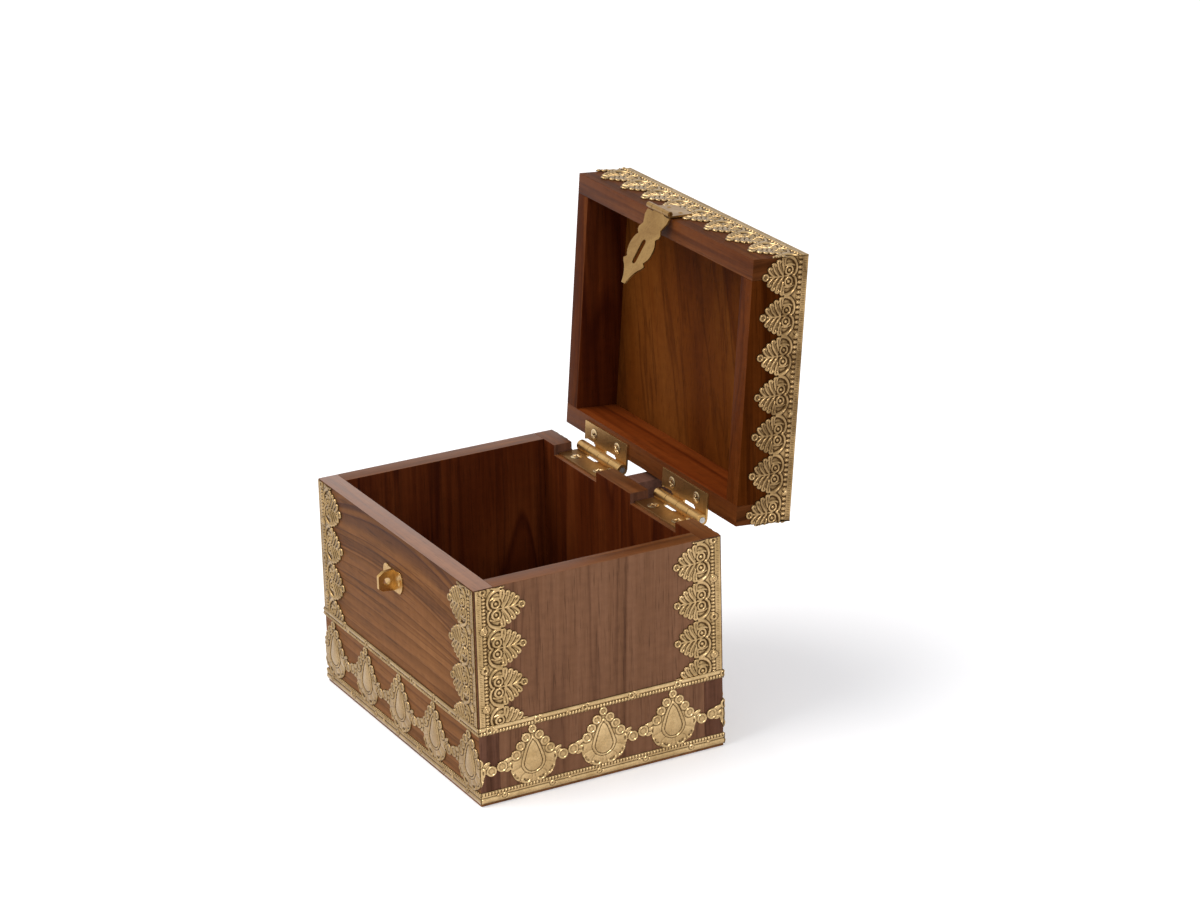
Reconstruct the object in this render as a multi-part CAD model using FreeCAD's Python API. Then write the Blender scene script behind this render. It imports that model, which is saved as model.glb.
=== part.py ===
import FreeCAD, Part
import math
import os

# A small wooden chest with a hinged lid, embossed brass trim, two butt hinges and a hasp.
# Millimetres. The origin is the centre of the chest's underside, +Z is up and the front,
# with the staple, faces -Y. The lid is drawn closed and then turned open.

# Chest: outside width, depth and height up to the rim
body_w = 150.0
body_d = 115.0
body_h = 96.0
wall_t = 9.0
bottom_t = 6.0

# Lid: its height with the top board, the board, the gap between the rims when it is closed,
# and how far it stands open
lid_h = 26.5
lid_top_t = 6.0
rim_gap = 0.2
lid_open_deg = 95.0

# Butt hinges: their middles in shares of the chest's width, length, leaves, barrel and pin
hinge_place_shares = (-0.245, 0.22)
hinge_l = 38.0
hinge_leaf_t = 1.0
hinge_leaf_w = 11.5
hinge_barrel_d = 5.0
hinge_pin_d = 2.6
hinge_pin_clear = 0.05
hinge_knuckles = 4
hinge_knuckle_gap = 0.3
hinge_window = 0.9
hinge_window_inset = 0.9
hinge_swing_room = 0.3
hinge_out = 4.5
hinge_drop = 2.2
notch_clear = 0.5

# Countersunk hinge screws
screw_spacing = 21.0
screw_from_axis = 7.2
screw_head_d = 5.4
screw_head_h = 1.5
screw_shank_d = 2.4
screw_l = 8.0
screw_cross_w = 0.7
screw_cross_l = 3.2
screw_cross_deep = 0.7
drill_clear = 0.02

# Stop block behind the back wall, on which the open lid leans
stop_w = 10.4
stop_h = 13.0
stop_shift = -0.8
stop_gap = 0.1

# Palmette strips: sheet, width over the tips, pitch, and the gaps at the chest's edges
trim_t = 0.6
strip_w = 23.0
strip_pitch = 17.2
strip_solid_w = 12.4
strip_edge_gap = 0.5
strip_top_gap = 0.4
strip_first_tip = 9.6
lid_strip_w = 22.0
lid_strip_edge_gap = 0.2
lid_front_pitch = 18.0
lid_side_pitch = 17.1
lid_side_first_tip = 8.0

# Base band: sheet edges above the underside, borders, and the drop medallions between them
band_low = 1.2
band_high = 35.4
band_low_border_h = 5.1
band_high_border_h = 4.3
medallions_on_band = 16
medallion_w = 21.8
arm_h = 4.0
arm_rise = 12.2

# Brass pins that fix the strips and the band
pin_shank_d = 0.8
pin_l = 3.0
pin_head_d = 1.7
pin_head_h = 0.4
pin_from_edge = 3.2

# Staple on the front wall: two wings and a folded fin with the padlock's hole
hasp_x = -1.0
staple_drop = 21.4
staple_h = 9.6
staple_wing_w = 9.0
staple_wing_t = 0.5
staple_fin_t = 1.8
staple_fin_out = 7.4
staple_hole_d = 3.2
staple_hole_out = 3.6

# Nails of the staple and of the hasp's fixed leaf
nail_head_d = 2.4
nail_head_h = 0.35
nail_shank_d = 1.2
nail_l = 6.0
staple_nail_out = 5.6
leaf_nail_out = 5.0
leaf_nail_rise = 7.5

# Hasp on the lid's front edge: barrel, fixed leaf and swinging strap
hasp_out = 2.2
hasp_drop = 1.1
hasp_barrel_d = 2.5
hasp_barrel_l = 18.4
hasp_middle_l = 9.2
hasp_knuckle_gap = 0.2
hasp_pin_d = 1.2
hasp_pin_clear = 0.05
hasp_pin_inset = 1.2
hasp_sheet_t = 0.8
hasp_leaf_h = 12.0
hasp_leaf_top_w = 15.6
strap_l = 34.6
strap_slot_from = 14.2
strap_slot_to = 25.4
strap_slot_w = 3.0
strap_rest_deg = 28.0

# How far cutting tools run past what they cut
overrun = 1.0

# The lobed edge of a palmette, from the notch before it to its tip: each arc's middle and end,
# across in half pitches and out in shares of the depth from the notch to the tip
palmette_lobe_shares = [
    ((-0.91, 0.07), (-0.80, 0.20)),
    ((-0.81, 0.40), (-0.64, 0.45)),
    ((-0.63, 0.62), (-0.44, 0.66)),
    ((-0.40, 0.81), (-0.18, 0.84)),
]
palmette_notch_share = 0.94

# Half of a medallion's outline from its foot to its tip ring: across in half widths,
# up in shares of the height between the borders
medallion_side_shares = [
    ((0.52, 0.02), (0.76, 0.14)),
    ((0.93, 0.24), (0.97, 0.40)),
    ((1.02, 0.48), (0.84, 0.52)),
    ((0.82, 0.61), (0.66, 0.62)),
    ((0.64, 0.72), (0.46, 0.73)),
    ((0.44, 0.84), (0.24, 0.85)),
    ((0.20, 0.96), (0.10, 1.00)),
]

# Half of the strap's outline below its barrel: half width over half the barrel's length,
# and distance from the pin's axis over the strap's length
strap_side_shares = [
    (1.00, 0.02), (1.02, 0.12), (0.80, 0.23), (0.98, 0.29), (0.97, 0.33), (0.77, 0.37),
]
strap_bulge_shares = ((1.02, 0.50), (0.74, 0.68))
strap_barb_shares = [(0.95, 0.72), (0.80, 0.76)]
strap_neck_shares = ((0.46, 0.84), (0.15, 1.00))

# The staple's fin beyond its foot: out over its reach, up over its height
fin_shares = [(0.68, 0.46), (1.00, 0.28), (1.00, -0.30), (0.80, -0.43)]

# The staple wing's outer edge: across over its width, up over its height
wing_top_shares = ((0.93, 0.42), (1.00, 0.16))
wing_side_shares = ((0.94, -0.26), (0.68, -0.50))

x_axis = FreeCAD.Vector(1, 0, 0)
y_axis = FreeCAD.Vector(0, 1, 0)
z_axis = FreeCAD.Vector(0, 0, 1)

# Places that follow from the sizes above
half_w = body_w / 2
half_d = body_d / 2
lid_low = body_h + rim_gap
lid_high = body_h + lid_h
hinge_y = half_d + hinge_out
hinge_z = body_h - hinge_drop
hinge_r = hinge_barrel_d / 2
hinge_point = FreeCAD.Vector(0, hinge_y, hinge_z)
hinge_centres = [body_w * share for share in hinge_place_shares]
knuckle_l = hinge_l / hinge_knuckles
hasp_y = -half_d - hasp_out
hasp_z = body_h - hasp_drop
hasp_r = hasp_barrel_d / 2
hasp_point = FreeCAD.Vector(hasp_x, hasp_y, hasp_z)
staple_z = body_h - staple_drop
perimeter = 2 * (body_w + body_d)
medallion_pitch = perimeter / medallions_on_band


def box(x0, x1, y0, y1, z0, z1):
    """A block between two corners."""
    return Part.makeBox(x1 - x0, y1 - y0, z1 - z0, FreeCAD.Vector(x0, y0, z0))


def rod(start, direction, radius, length):
    """A round bar from a point along a direction."""
    return Part.makeCylinder(radius, length, start, direction)


def outline_face(start, steps):
    """A flat face in the XY plane. A step is a point, or a pair for an arc: its middle and end."""
    edges = []
    here = FreeCAD.Vector(start[0], start[1], 0)
    for step in steps:
        if isinstance(step[0], tuple):
            middle = FreeCAD.Vector(step[0][0], step[0][1], 0)
            there = FreeCAD.Vector(step[1][0], step[1][1], 0)
            edges.append(Part.Arc(here, middle, there).toShape())
        else:
            there = FreeCAD.Vector(step[0], step[1], 0)
            edges.append(Part.LineSegment(here, there).toShape())
        here = there
    first = FreeCAD.Vector(start[0], start[1], 0)
    if here.distanceToPoint(first) > Part.Vertex(first).Tolerance:
        edges.append(Part.LineSegment(here, first).toShape())
    return Part.Face(Part.Wire(edges))


def placed(shape, origin, u, v):
    """A copy of a shape drawn in XY, with its X along u, its Y along v and its Z along u x v."""
    w = u.cross(v)
    matrix = FreeCAD.Matrix(
        u.x, v.x, w.x, origin.x,
        u.y, v.y, w.y, origin.y,
        u.z, v.z, w.z, origin.z,
        0, 0, 0, 1,
    )
    copy = shape.copy()
    copy.Placement = FreeCAD.Placement(matrix)
    return copy


def opened(shape):
    """A piece of the lid, turned from closed to open about the hinges."""
    copy = shape.copy()
    copy.rotate(hinge_point, x_axis, -lid_open_deg)
    return copy


def save(name, shape):
    """Writes one node. A list of solids becomes one group."""
    if isinstance(shape, list):
        shape = Part.makeCompound(shape)
    if not shape.isValid():
        print("not valid:", name)
    print(name, len(shape.Solids), "solids", round(shape.Volume, 2), "mm3")
    shape.exportStep("parts/" + name + ".step")


# Palmette strips

def palmette_tips(length, first, pitch):
    """Places of the tips along a strip, with one more past each end for the cut."""
    start = first - pitch * math.ceil(first / pitch)
    count = math.ceil((length - start) / pitch) + 1
    return [start + pitch * k for k in range(count)]


def palmette_strip(length, first, pitch, width):
    """A strip along X with its plain edge at Y 0 and lobed palmettes pointing to +Y."""
    notch = strip_solid_w * palmette_notch_share
    depth = width - notch
    half = pitch / 2
    tips = palmette_tips(length, first, pitch)
    steps = [(tips[0] - half, notch)]
    for tip in tips:
        left = []
        for middle, end in palmette_lobe_shares:
            left.append((
                (tip + half * middle[0], notch + depth * middle[1]),
                (tip + half * end[0], notch + depth * end[1]),
            ))
        steps += left
        nose = palmette_lobe_shares[-1][1]
        steps.append(((tip, width), (tip - half * nose[0], notch + depth * nose[1])))
        backwards = list(reversed(palmette_lobe_shares))
        for number, (middle, end) in enumerate(backwards):
            if number + 1 < len(backwards):
                after = backwards[number + 1][1]
            else:
                after = (-1, 0)
            steps.append((
                (tip - half * middle[0], notch + depth * middle[1]),
                (tip - half * after[0], notch + depth * after[1]),
            ))
    steps.append((tips[-1] + half, 0))
    face = outline_face((tips[0] - half, 0), steps)
    sheet = face.extrude(z_axis * trim_t)
    keep = box(0, length, -overrun, width + overrun, -overrun, trim_t + overrun)
    return sheet.common(keep)


def pin(point, outward):
    """A round-headed brass pin whose head sits on the sheet at a point of its outer face."""
    shank = rod(point - outward * pin_l, outward, pin_shank_d / 2, pin_l)
    head = dome(point, outward, pin_head_d, pin_head_h)
    return shank.fuse(head)


def dome(point, outward, diameter, height):
    """A low round cap, flat against the point's plane."""
    half = diameter / 2
    ball_r = (half ** 2 + height ** 2) / (2 * height)
    ball = Part.makeSphere(ball_r, point - outward * (ball_r - height))
    return ball.common(rod(point, outward, half, height))


def pin_hole(point, outward):
    """The hole that a pin's shank needs in the sheet and the wood behind it."""
    radius = pin_shank_d / 2 + drill_clear
    return rod(point - outward * (pin_l + drill_clear), outward, radius, pin_l + overrun)


def strip_pin_points(length, first, pitch):
    """Places along a strip for its pins: between palmettes, one in two, clear of the ends."""
    places = [tip + pitch / 2 for tip in palmette_tips(length, first, pitch)]
    inside = [u for u in places if pin_head_d < u < length - pin_head_d]
    return inside[::2]


def strip_set(origin, u, v, length, first, pitch, width):
    """A strip on a face of the chest or lid, with its pins and their holes."""
    w = u.cross(v)
    sheet = placed(palmette_strip(length, first, pitch, width), origin, u, v)
    points = []
    for place in strip_pin_points(length, first, pitch):
        points.append(origin + u * place + v * pin_from_edge + w * trim_t)
    holes = [pin_hole(point, w) for point in points]
    pins = [pin(point, w) for point in points]
    return sheet.cut(Part.makeCompound(holes)), pins, holes


# The four faces of a box that stands on Z: outward, and along it to the right as one looks at it
faces = {
    "front": (FreeCAD.Vector(-half_w, -half_d, 0), x_axis, body_w),
    "right": (FreeCAD.Vector(half_w, -half_d, 0), y_axis, body_d),
    "back": (FreeCAD.Vector(half_w, half_d, 0), -x_axis, body_w),
    "left": (FreeCAD.Vector(-half_w, half_d, 0), -y_axis, body_d),
}


def corner_strips():
    """The two upright strips on each face of the chest, by name."""
    low = band_high
    length = body_h - strip_top_gap - low
    first_up = (length - strip_first_tip) % strip_pitch
    ends = {
        "front": ("front_strip_left", "front_strip_right"),
        "right": ("right_strip_front", "right_strip_back"),
        "back": ("back_strip_right", "back_strip_left"),
        "left": ("left_strip_back", "left_strip_front"),
    }
    made = {}
    for face, (corner, along, width) in faces.items():
        near = corner + along * strip_edge_gap + z_axis * (low + length)
        far = corner + along * (width - strip_edge_gap) + z_axis * low
        made[ends[face][0]] = strip_set(near, -z_axis, along, length, strip_first_tip, strip_pitch, strip_w)
        made[ends[face][1]] = strip_set(far, z_axis, -along, length, first_up, strip_pitch, strip_w)
    return made


def lid_strips():
    """The strips round the lid, drawn closed, with their plain edges along the lid's top."""
    made = {}
    for face, (corner, along, width) in faces.items():
        top = z_axis * (lid_high - lid_strip_edge_gap)
        if face in ("front", "back"):
            length = width + 2 * trim_t
            pitch = lid_front_pitch
            first = (length / 2 - pitch / 2) % pitch
            origin = corner + along * (width + trim_t) + top
        else:
            length = width
            pitch = lid_side_pitch
            first = lid_side_first_tip
            if face == "right":
                first = (length - lid_side_first_tip) % pitch
            origin = corner + along * width + top
        made["lid_strip_" + face] = strip_set(origin, -along, -z_axis, length, first, pitch, lid_strip_w)
    return made


# Base band

def medallion():
    """A drop medallion over the origin, standing on the low border, as a sheet."""
    half = medallion_w / 2
    foot = band_low + band_low_border_h / 2
    height = band_high - band_high_border_h - foot
    right = []
    for middle, end in medallion_side_shares:
        right.append((
            (half * middle[0], foot + height * middle[1]),
            (half * end[0], foot + height * end[1]),
        ))
    steps = list(right)
    tip = medallion_side_shares[-1][1]
    steps.append((-half * tip[0], foot + height * tip[1]))
    backwards = list(reversed(medallion_side_shares))
    for number, (middle, end) in enumerate(backwards):
        if number + 1 < len(backwards):
            after = backwards[number + 1][1]
        else:
            after = (0, 0)
        steps.append((
            (-half * middle[0], foot + height * middle[1]),
            (-half * after[0], foot + height * after[1]),
        ))
    return outline_face((0, foot), steps).extrude(z_axis * trim_t)


def band_on_face(start, length, before, after):
    """The band's stretch along one face. start is how far round the chest the face begins."""
    low = box(-before, length + after, band_low, band_low + band_low_border_h, 0, trim_t)
    high = box(-before, length + after, band_high - band_high_border_h, band_high, 0, trim_t)
    foot = band_low + band_low_border_h / 2
    arm_mid = foot + arm_rise
    arms = box(-before, length + after, arm_mid - arm_h / 2, arm_mid + arm_h / 2, 0, trim_t)
    drop = medallion()
    pieces = [high, arms]
    first = half_w - medallion_pitch * math.floor(half_w / medallion_pitch)
    for number in range(-1, medallions_on_band + 1):
        place = first + number * medallion_pitch - start
        if -medallion_w < place < length + medallion_w:
            piece = drop.copy()
            piece.translate(x_axis * place)
            pieces.append(piece)
    band = low.multiFuse(pieces)
    reach = band_high + overrun
    return band.common(box(-before, length + after, 0, reach, -overrun, trim_t + overrun))


def band_pin_places(length):
    """Places along a face for the band's pins: halfway between the medallions."""
    count = 2 * math.floor(length / (2 * medallion_pitch) + 1 / 2)
    first = (length - (count - 1) * medallion_pitch) / 2
    return [first + k * medallion_pitch for k in range(count)]


def base_band():
    """The whole band as one sheet round the chest, with its pins and their holes."""
    start = 0
    pieces = []
    pins = []
    holes = []
    for face, (corner, along, length) in faces.items():
        cap = trim_t if face in ("front", "back") else 0
        pieces.append(placed(band_on_face(start, length, cap, cap), corner, along, z_axis))
        outward = along.cross(z_axis)
        for place in band_pin_places(length):
            for rise in (band_low + band_low_border_h / 2, band_high - band_high_border_h / 2):
                point = corner + along * place + z_axis * rise + outward * trim_t
                pins.append(pin(point, outward))
                holes.append(pin_hole(point, outward))
        start += length
    ring = pieces[0].multiFuse(pieces[1:]).removeSplitter()
    return ring.cut(Part.makeCompound(holes)), pins, holes


# Butt hinges

def knuckle(centre, number):
    """One knuckle of a hinge's barrel, counted from its -X end, with its bore."""
    x0 = centre - hinge_l / 2 + number * knuckle_l + hinge_knuckle_gap / 2
    long = knuckle_l - hinge_knuckle_gap
    start = FreeCAD.Vector(x0, hinge_y, hinge_z)
    bore_r = hinge_pin_d / 2 + hinge_pin_clear
    bore = rod(start - x_axis * overrun, x_axis, bore_r, long + 2 * overrun)
    return rod(start, x_axis, hinge_r, long), bore


def hinge_leaf(centre, upper):
    """A leaf with every second knuckle. The upper one, on the lid, is drawn closed."""
    x0 = centre - hinge_l / 2
    x1 = centre + hinge_l / 2
    if upper:
        z0 = hinge_z + hinge_r - hinge_leaf_t
        own = range(1, hinge_knuckles, 2)
    else:
        z0 = hinge_z - hinge_r
        own = range(0, hinge_knuckles, 2)
    leaf = box(x0, x1, hinge_y - hinge_leaf_w, hinge_y, z0, z0 + hinge_leaf_t)
    for number in range(hinge_knuckles):
        if number not in own:
            a = x0 + number * knuckle_l - hinge_knuckle_gap / 2
            b = a + knuckle_l + hinge_knuckle_gap
            inset = hinge_window_inset
            for left, right, reach in ((a, b, hinge_swing_room), (a + inset, b - inset, hinge_window)):
                edge = hinge_y - hinge_r - reach
                window = box(left, right, edge, hinge_y + overrun, z0 - overrun, z0 + hinge_leaf_t + overrun)
                leaf = leaf.cut(window)
    bores = []
    for number in own:
        barrel, bore = knuckle(centre, number)
        leaf = leaf.fuse(barrel)
        bores.append(bore)
    for bore in bores:
        leaf = leaf.cut(bore)
    for point, outward in screw_points(centre, upper):
        leaf = leaf.cut(screw_room(point, outward))
    return leaf.removeSplitter()


def screw_points(centre, upper):
    """Where a leaf's two screws sit: the centre of each head's face, and the way it faces."""
    points = []
    for side in (-1, 1):
        x = centre + side * screw_spacing / 2
        y = hinge_y - screw_from_axis
        if upper:
            z = hinge_z + hinge_r - hinge_leaf_t
            points.append((FreeCAD.Vector(x, y, z), -z_axis))
        else:
            z = hinge_z - hinge_r + hinge_leaf_t
            points.append((FreeCAD.Vector(x, y, z), z_axis))
    return points


def screw_body(point, outward, extra):
    """A countersunk screw's head and shank, grown by a clearance."""
    head_r = screw_head_d / 2 + extra
    shank_r = screw_shank_d / 2 + extra
    base = point - outward * screw_head_h
    head = Part.makeCone(shank_r, head_r, screw_head_h, base, outward)
    shank = rod(point - outward * (screw_l + extra), outward, shank_r, screw_l - screw_head_h + extra)
    return head.fuse(shank)


def screw_room(point, outward):
    """What the leaf and the wood lose so that a screw goes in."""
    return screw_body(point, outward, drill_clear)


def hinge_screw(point, outward):
    """A countersunk screw with a cross recess."""
    body = screw_body(point, outward, 0)
    half_l = screw_cross_l / 2
    half_cross = screw_cross_w / 2
    deep = screw_cross_deep
    cross = box(-half_l, half_l, -half_cross, half_cross, -deep, overrun)
    cross = cross.fuse(box(-half_cross, half_cross, -half_l, half_l, -deep, overrun))
    return body.cut(placed(cross, point, x_axis, outward.cross(x_axis)))


def hinge_pin(centre):
    """The steel pin of a hinge, as long as its barrel."""
    start = FreeCAD.Vector(centre - hinge_l / 2, hinge_y, hinge_z)
    return rod(start, x_axis, hinge_pin_d / 2, hinge_l)


def hinge_notch(centre):
    """The deep notch in the back wall's rim where a hinge lies."""
    half = hinge_l / 2 + notch_clear
    floor = hinge_z - hinge_r
    inside = half_d - wall_t - overrun
    return box(centre - half, centre + half, inside, half_d + overrun, floor, body_h + overrun)


def lid_recess(centre):
    """The shallow recess in the lid's rim for the lid's leaf."""
    half = hinge_l / 2 + notch_clear
    roof = hinge_z + hinge_r
    front = hinge_y - hinge_leaf_w
    return box(centre - half, centre + half, front, half_d + overrun, lid_low - overrun, roof)


# Staple and hasp

def staple():
    """A folded sheet: two wings flat on the front wall and a fin with the padlock's hole."""
    face_y = -half_d
    sheets = []
    for side in (-1, 1):
        steps = [(side * staple_wing_w * wing_top_shares[0][0] / 2, staple_h / 2)]
        for shares in (wing_top_shares, wing_side_shares):
            steps.append((
                (side * staple_wing_w * shares[0][0], staple_h * shares[0][1]),
                (side * staple_wing_w * shares[1][0], staple_h * shares[1][1]),
            ))
        steps.append((0, -staple_h / 2))
        wing = outline_face((0, staple_h / 2), steps).extrude(z_axis * staple_wing_t)
        sheets.append(placed(wing, FreeCAD.Vector(hasp_x, face_y, staple_z), x_axis, z_axis))
    fin = placed(fin_sheet(), FreeCAD.Vector(hasp_x + staple_fin_t / 2, face_y, staple_z), y_axis, z_axis)
    fin.translate(-x_axis * staple_fin_t)
    hole = rod(padlock_point() - x_axis * staple_fin_t, x_axis, staple_hole_d / 2, 2 * staple_fin_t)
    body = sheets[0].multiFuse([sheets[1], fin]).cut(hole)
    for point in staple_nail_points():
        body = body.cut(nail_room(point, -y_axis))
    return body.removeSplitter()


def fin_sheet():
    """The fin seen from the side: its full height at the wall, with cut corners in front."""
    half = staple_h / 2
    steps = [(-staple_fin_out * out, staple_h * up) for out, up in fin_shares]
    return outline_face((0, half), steps + [(0, -half)]).extrude(z_axis * staple_fin_t)


def padlock_point():
    """The centre of the fin's hole."""
    return FreeCAD.Vector(hasp_x, -half_d - staple_hole_out, staple_z)


def staple_nail_points():
    """The staple's two nails, on the wings' outer faces."""
    y = -half_d - staple_wing_t
    return [FreeCAD.Vector(hasp_x + side * staple_nail_out, y, staple_z) for side in (-1, 1)]


def nail(point, outward):
    """A small round-headed nail."""
    shank = rod(point - outward * nail_l, outward, nail_shank_d / 2, nail_l)
    return shank.fuse(dome(point, outward, nail_head_d, nail_head_h))


def nail_room(point, outward):
    """The hole that a nail needs."""
    radius = nail_shank_d / 2 + drill_clear
    return rod(point - outward * (nail_l + drill_clear), outward, radius, nail_l + overrun)


def hasp_ring(x0, x1):
    """A rolled knuckle of the hasp between two places along X, with its bore."""
    start = FreeCAD.Vector(x0, hasp_y, hasp_z)
    outer = rod(start, x_axis, hasp_r, x1 - x0)
    bore_r = hasp_pin_d / 2 + hasp_pin_clear
    return outer, rod(start - x_axis * overrun, x_axis, bore_r, x1 - x0 + 2 * overrun)


def hasp_leaf():
    """The fixed leaf on the lid's front, drawn closed, with the two outer knuckles."""
    half = hasp_barrel_l / 2
    top = hasp_leaf_top_w / 2
    middle = hasp_middle_l / 2 + hasp_knuckle_gap
    window = hasp_r + hasp_knuckle_gap
    side = top - hasp_r
    corner = hasp_leaf_h - hasp_r
    round_x = top - hasp_r / 3
    round_z = hasp_leaf_h - hasp_r / 3
    steps = [
        (-middle, 0), (-middle, window), (middle, window), (middle, 0), (half, 0), (top, corner),
        ((round_x, round_z), (side, hasp_leaf_h)), (-side, hasp_leaf_h),
        ((-round_x, round_z), (-top, corner)),
    ]
    sheet = outline_face((-half, 0), steps).extrude(z_axis * hasp_sheet_t)
    leaf = placed(sheet, FreeCAD.Vector(hasp_x, -half_d - trim_t, hasp_z), x_axis, z_axis)
    for x0, x1 in ((hasp_x - half, hasp_x - middle), (hasp_x + middle, hasp_x + half)):
        ring, bore = hasp_ring(x0, x1)
        leaf = leaf.fuse(ring).cut(bore)
    for point in leaf_nail_points():
        leaf = leaf.cut(nail_room(point, -y_axis))
    return leaf


def leaf_nail_points():
    """The fixed leaf's two nails, on its outer face."""
    y = -half_d - trim_t - hasp_sheet_t
    z = hasp_z + leaf_nail_rise
    return [FreeCAD.Vector(hasp_x + side * leaf_nail_out, y, z) for side in (-1, 1)]


def mirrored(point):
    """A point of an outline on the other side of its middle line."""
    return (-point[0], point[1])


def strap_outline():
    """The strap laid in XY with its pin's axis along X and its tip towards -Y."""
    half = hasp_barrel_l / 2
    right = [(half * across, -strap_l * down) for across, down in strap_side_shares]
    bulge = [(half * across, -strap_l * down) for across, down in strap_bulge_shares]
    barb = [(half * across, -strap_l * down) for across, down in strap_barb_shares]
    neck = [(half * across, -strap_l * down) for across, down in strap_neck_shares]
    middle = hasp_middle_l / 2
    shoulder = -(hasp_out - trim_t + hasp_knuckle_gap)
    steps = [(middle, shoulder), (right[0][0], shoulder)]
    steps += right[1:]
    steps += [(bulge[0], bulge[1]), barb[0], barb[1], (neck[0], neck[1])]
    steps += [mirrored(neck[1]), (mirrored(neck[0]), mirrored(barb[1])), mirrored(barb[0])]
    steps += [mirrored(bulge[1]), (mirrored(bulge[0]), mirrored(right[-1]))]
    steps += [mirrored(point) for point in reversed(right[1:-1])]
    steps += [(-right[0][0], shoulder), (-middle, shoulder), (-middle, 0)]
    return outline_face((middle, 0), steps)


def hasp_strap():
    """The swinging strap with its slot and middle knuckle, drawn hanging in front of the chest."""
    sheet = strap_outline().extrude(z_axis * hasp_sheet_t)
    end_r = strap_slot_w / 2
    ends = (-strap_slot_to + end_r, -strap_slot_from - end_r)
    slot = box(-end_r, end_r, ends[0], ends[1], -overrun, hasp_sheet_t + overrun)
    for end in ends:
        start = FreeCAD.Vector(0, end, -overrun)
        slot = slot.fuse(rod(start, z_axis, end_r, hasp_sheet_t + 2 * overrun))
    sheet = sheet.cut(slot)
    strap = placed(sheet, hasp_point + y_axis * hasp_r, x_axis, z_axis)
    middle = hasp_middle_l / 2
    ring, bore = hasp_ring(hasp_x - middle, hasp_x + middle)
    strap = strap.fuse(ring).cut(bore).removeSplitter()
    quarter_turn_deg = 90.0
    strap.rotate(hasp_point, x_axis, quarter_turn_deg - strap_rest_deg)
    return strap


def hasp_pin():
    """The pin in the hasp's barrel, which ends short of the barrel's mouths."""
    long = hasp_barrel_l - 2 * hasp_pin_inset
    start = FreeCAD.Vector(hasp_x - long / 2, hasp_y, hasp_z)
    return rod(start, x_axis, hasp_pin_d / 2, long)


# Wooden boards

def front_wall(holes):
    board = box(-half_w, half_w, -half_d, -half_d + wall_t, bottom_t, body_h)
    nails = [nail_room(point, -y_axis) for point in staple_nail_points()]
    return board.cut(Part.makeCompound(holes + nails))


def back_wall(holes):
    board = box(-half_w, half_w, half_d - wall_t, half_d, bottom_t, body_h)
    for centre in hinge_centres:
        board = board.cut(hinge_notch(centre))
        for point, outward in screw_points(centre, False):
            board = board.cut(screw_room(point, outward))
    return board.cut(Part.makeCompound(holes))


def side_wall(side, holes):
    inner = side * (half_w - wall_t)
    outer = side * half_w
    board = box(min(inner, outer), max(inner, outer), -half_d + wall_t, half_d - wall_t, bottom_t, body_h)
    return board.cut(Part.makeCompound(holes))


def bottom_panel(holes):
    board = box(-half_w, half_w, -half_d, half_d, 0, bottom_t)
    return board.cut(Part.makeCompound(holes))


def lid_stop():
    """The block that the open lid leans on: its depth ends where the lid's trim comes down."""
    x0 = stop_shift - stop_w / 2
    lean = math.radians(lid_open_deg)
    # A point of the closed lid's trimmed back is (y, z) from the hinge's axis. The open lid has
    # turned it to (y cos + z sin, z cos - y sin), and the block ends where that is at the rim.
    y = trim_t + stop_gap - hinge_out
    z = (hinge_drop + y * math.sin(lean)) / math.cos(lean)
    deep = hinge_out + y * math.cos(lean) + z * math.sin(lean)
    print("stop block depth", round(deep, 2))
    return box(x0, x0 + stop_w, half_d, half_d + deep, body_h - stop_h, body_h)


def lid_rail(name, holes):
    """One rail of the lid, drawn closed. The front and back rails run the full width."""
    roof = lid_high - lid_top_t
    if name == "front":
        board = box(-half_w, half_w, -half_d, -half_d + wall_t, lid_low, roof)
        nails = [nail_room(point, -y_axis) for point in leaf_nail_points()]
        board = board.cut(Part.makeCompound(nails))
    elif name == "back":
        board = box(-half_w, half_w, half_d - wall_t, half_d, lid_low, roof)
        for centre in hinge_centres:
            board = board.cut(lid_recess(centre))
            for point, outward in screw_points(centre, True):
                board = board.cut(screw_room(point, outward))
    elif name == "right":
        board = box(half_w - wall_t, half_w, -half_d + wall_t, half_d - wall_t, lid_low, roof)
    else:
        board = box(-half_w, -half_w + wall_t, -half_d + wall_t, half_d - wall_t, lid_low, roof)
    return board.cut(Part.makeCompound(holes))


def lid_top_panel(holes):
    board = box(-half_w, half_w, -half_d, half_d, lid_high - lid_top_t, lid_high)
    return board.cut(Part.makeCompound(holes))


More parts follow.
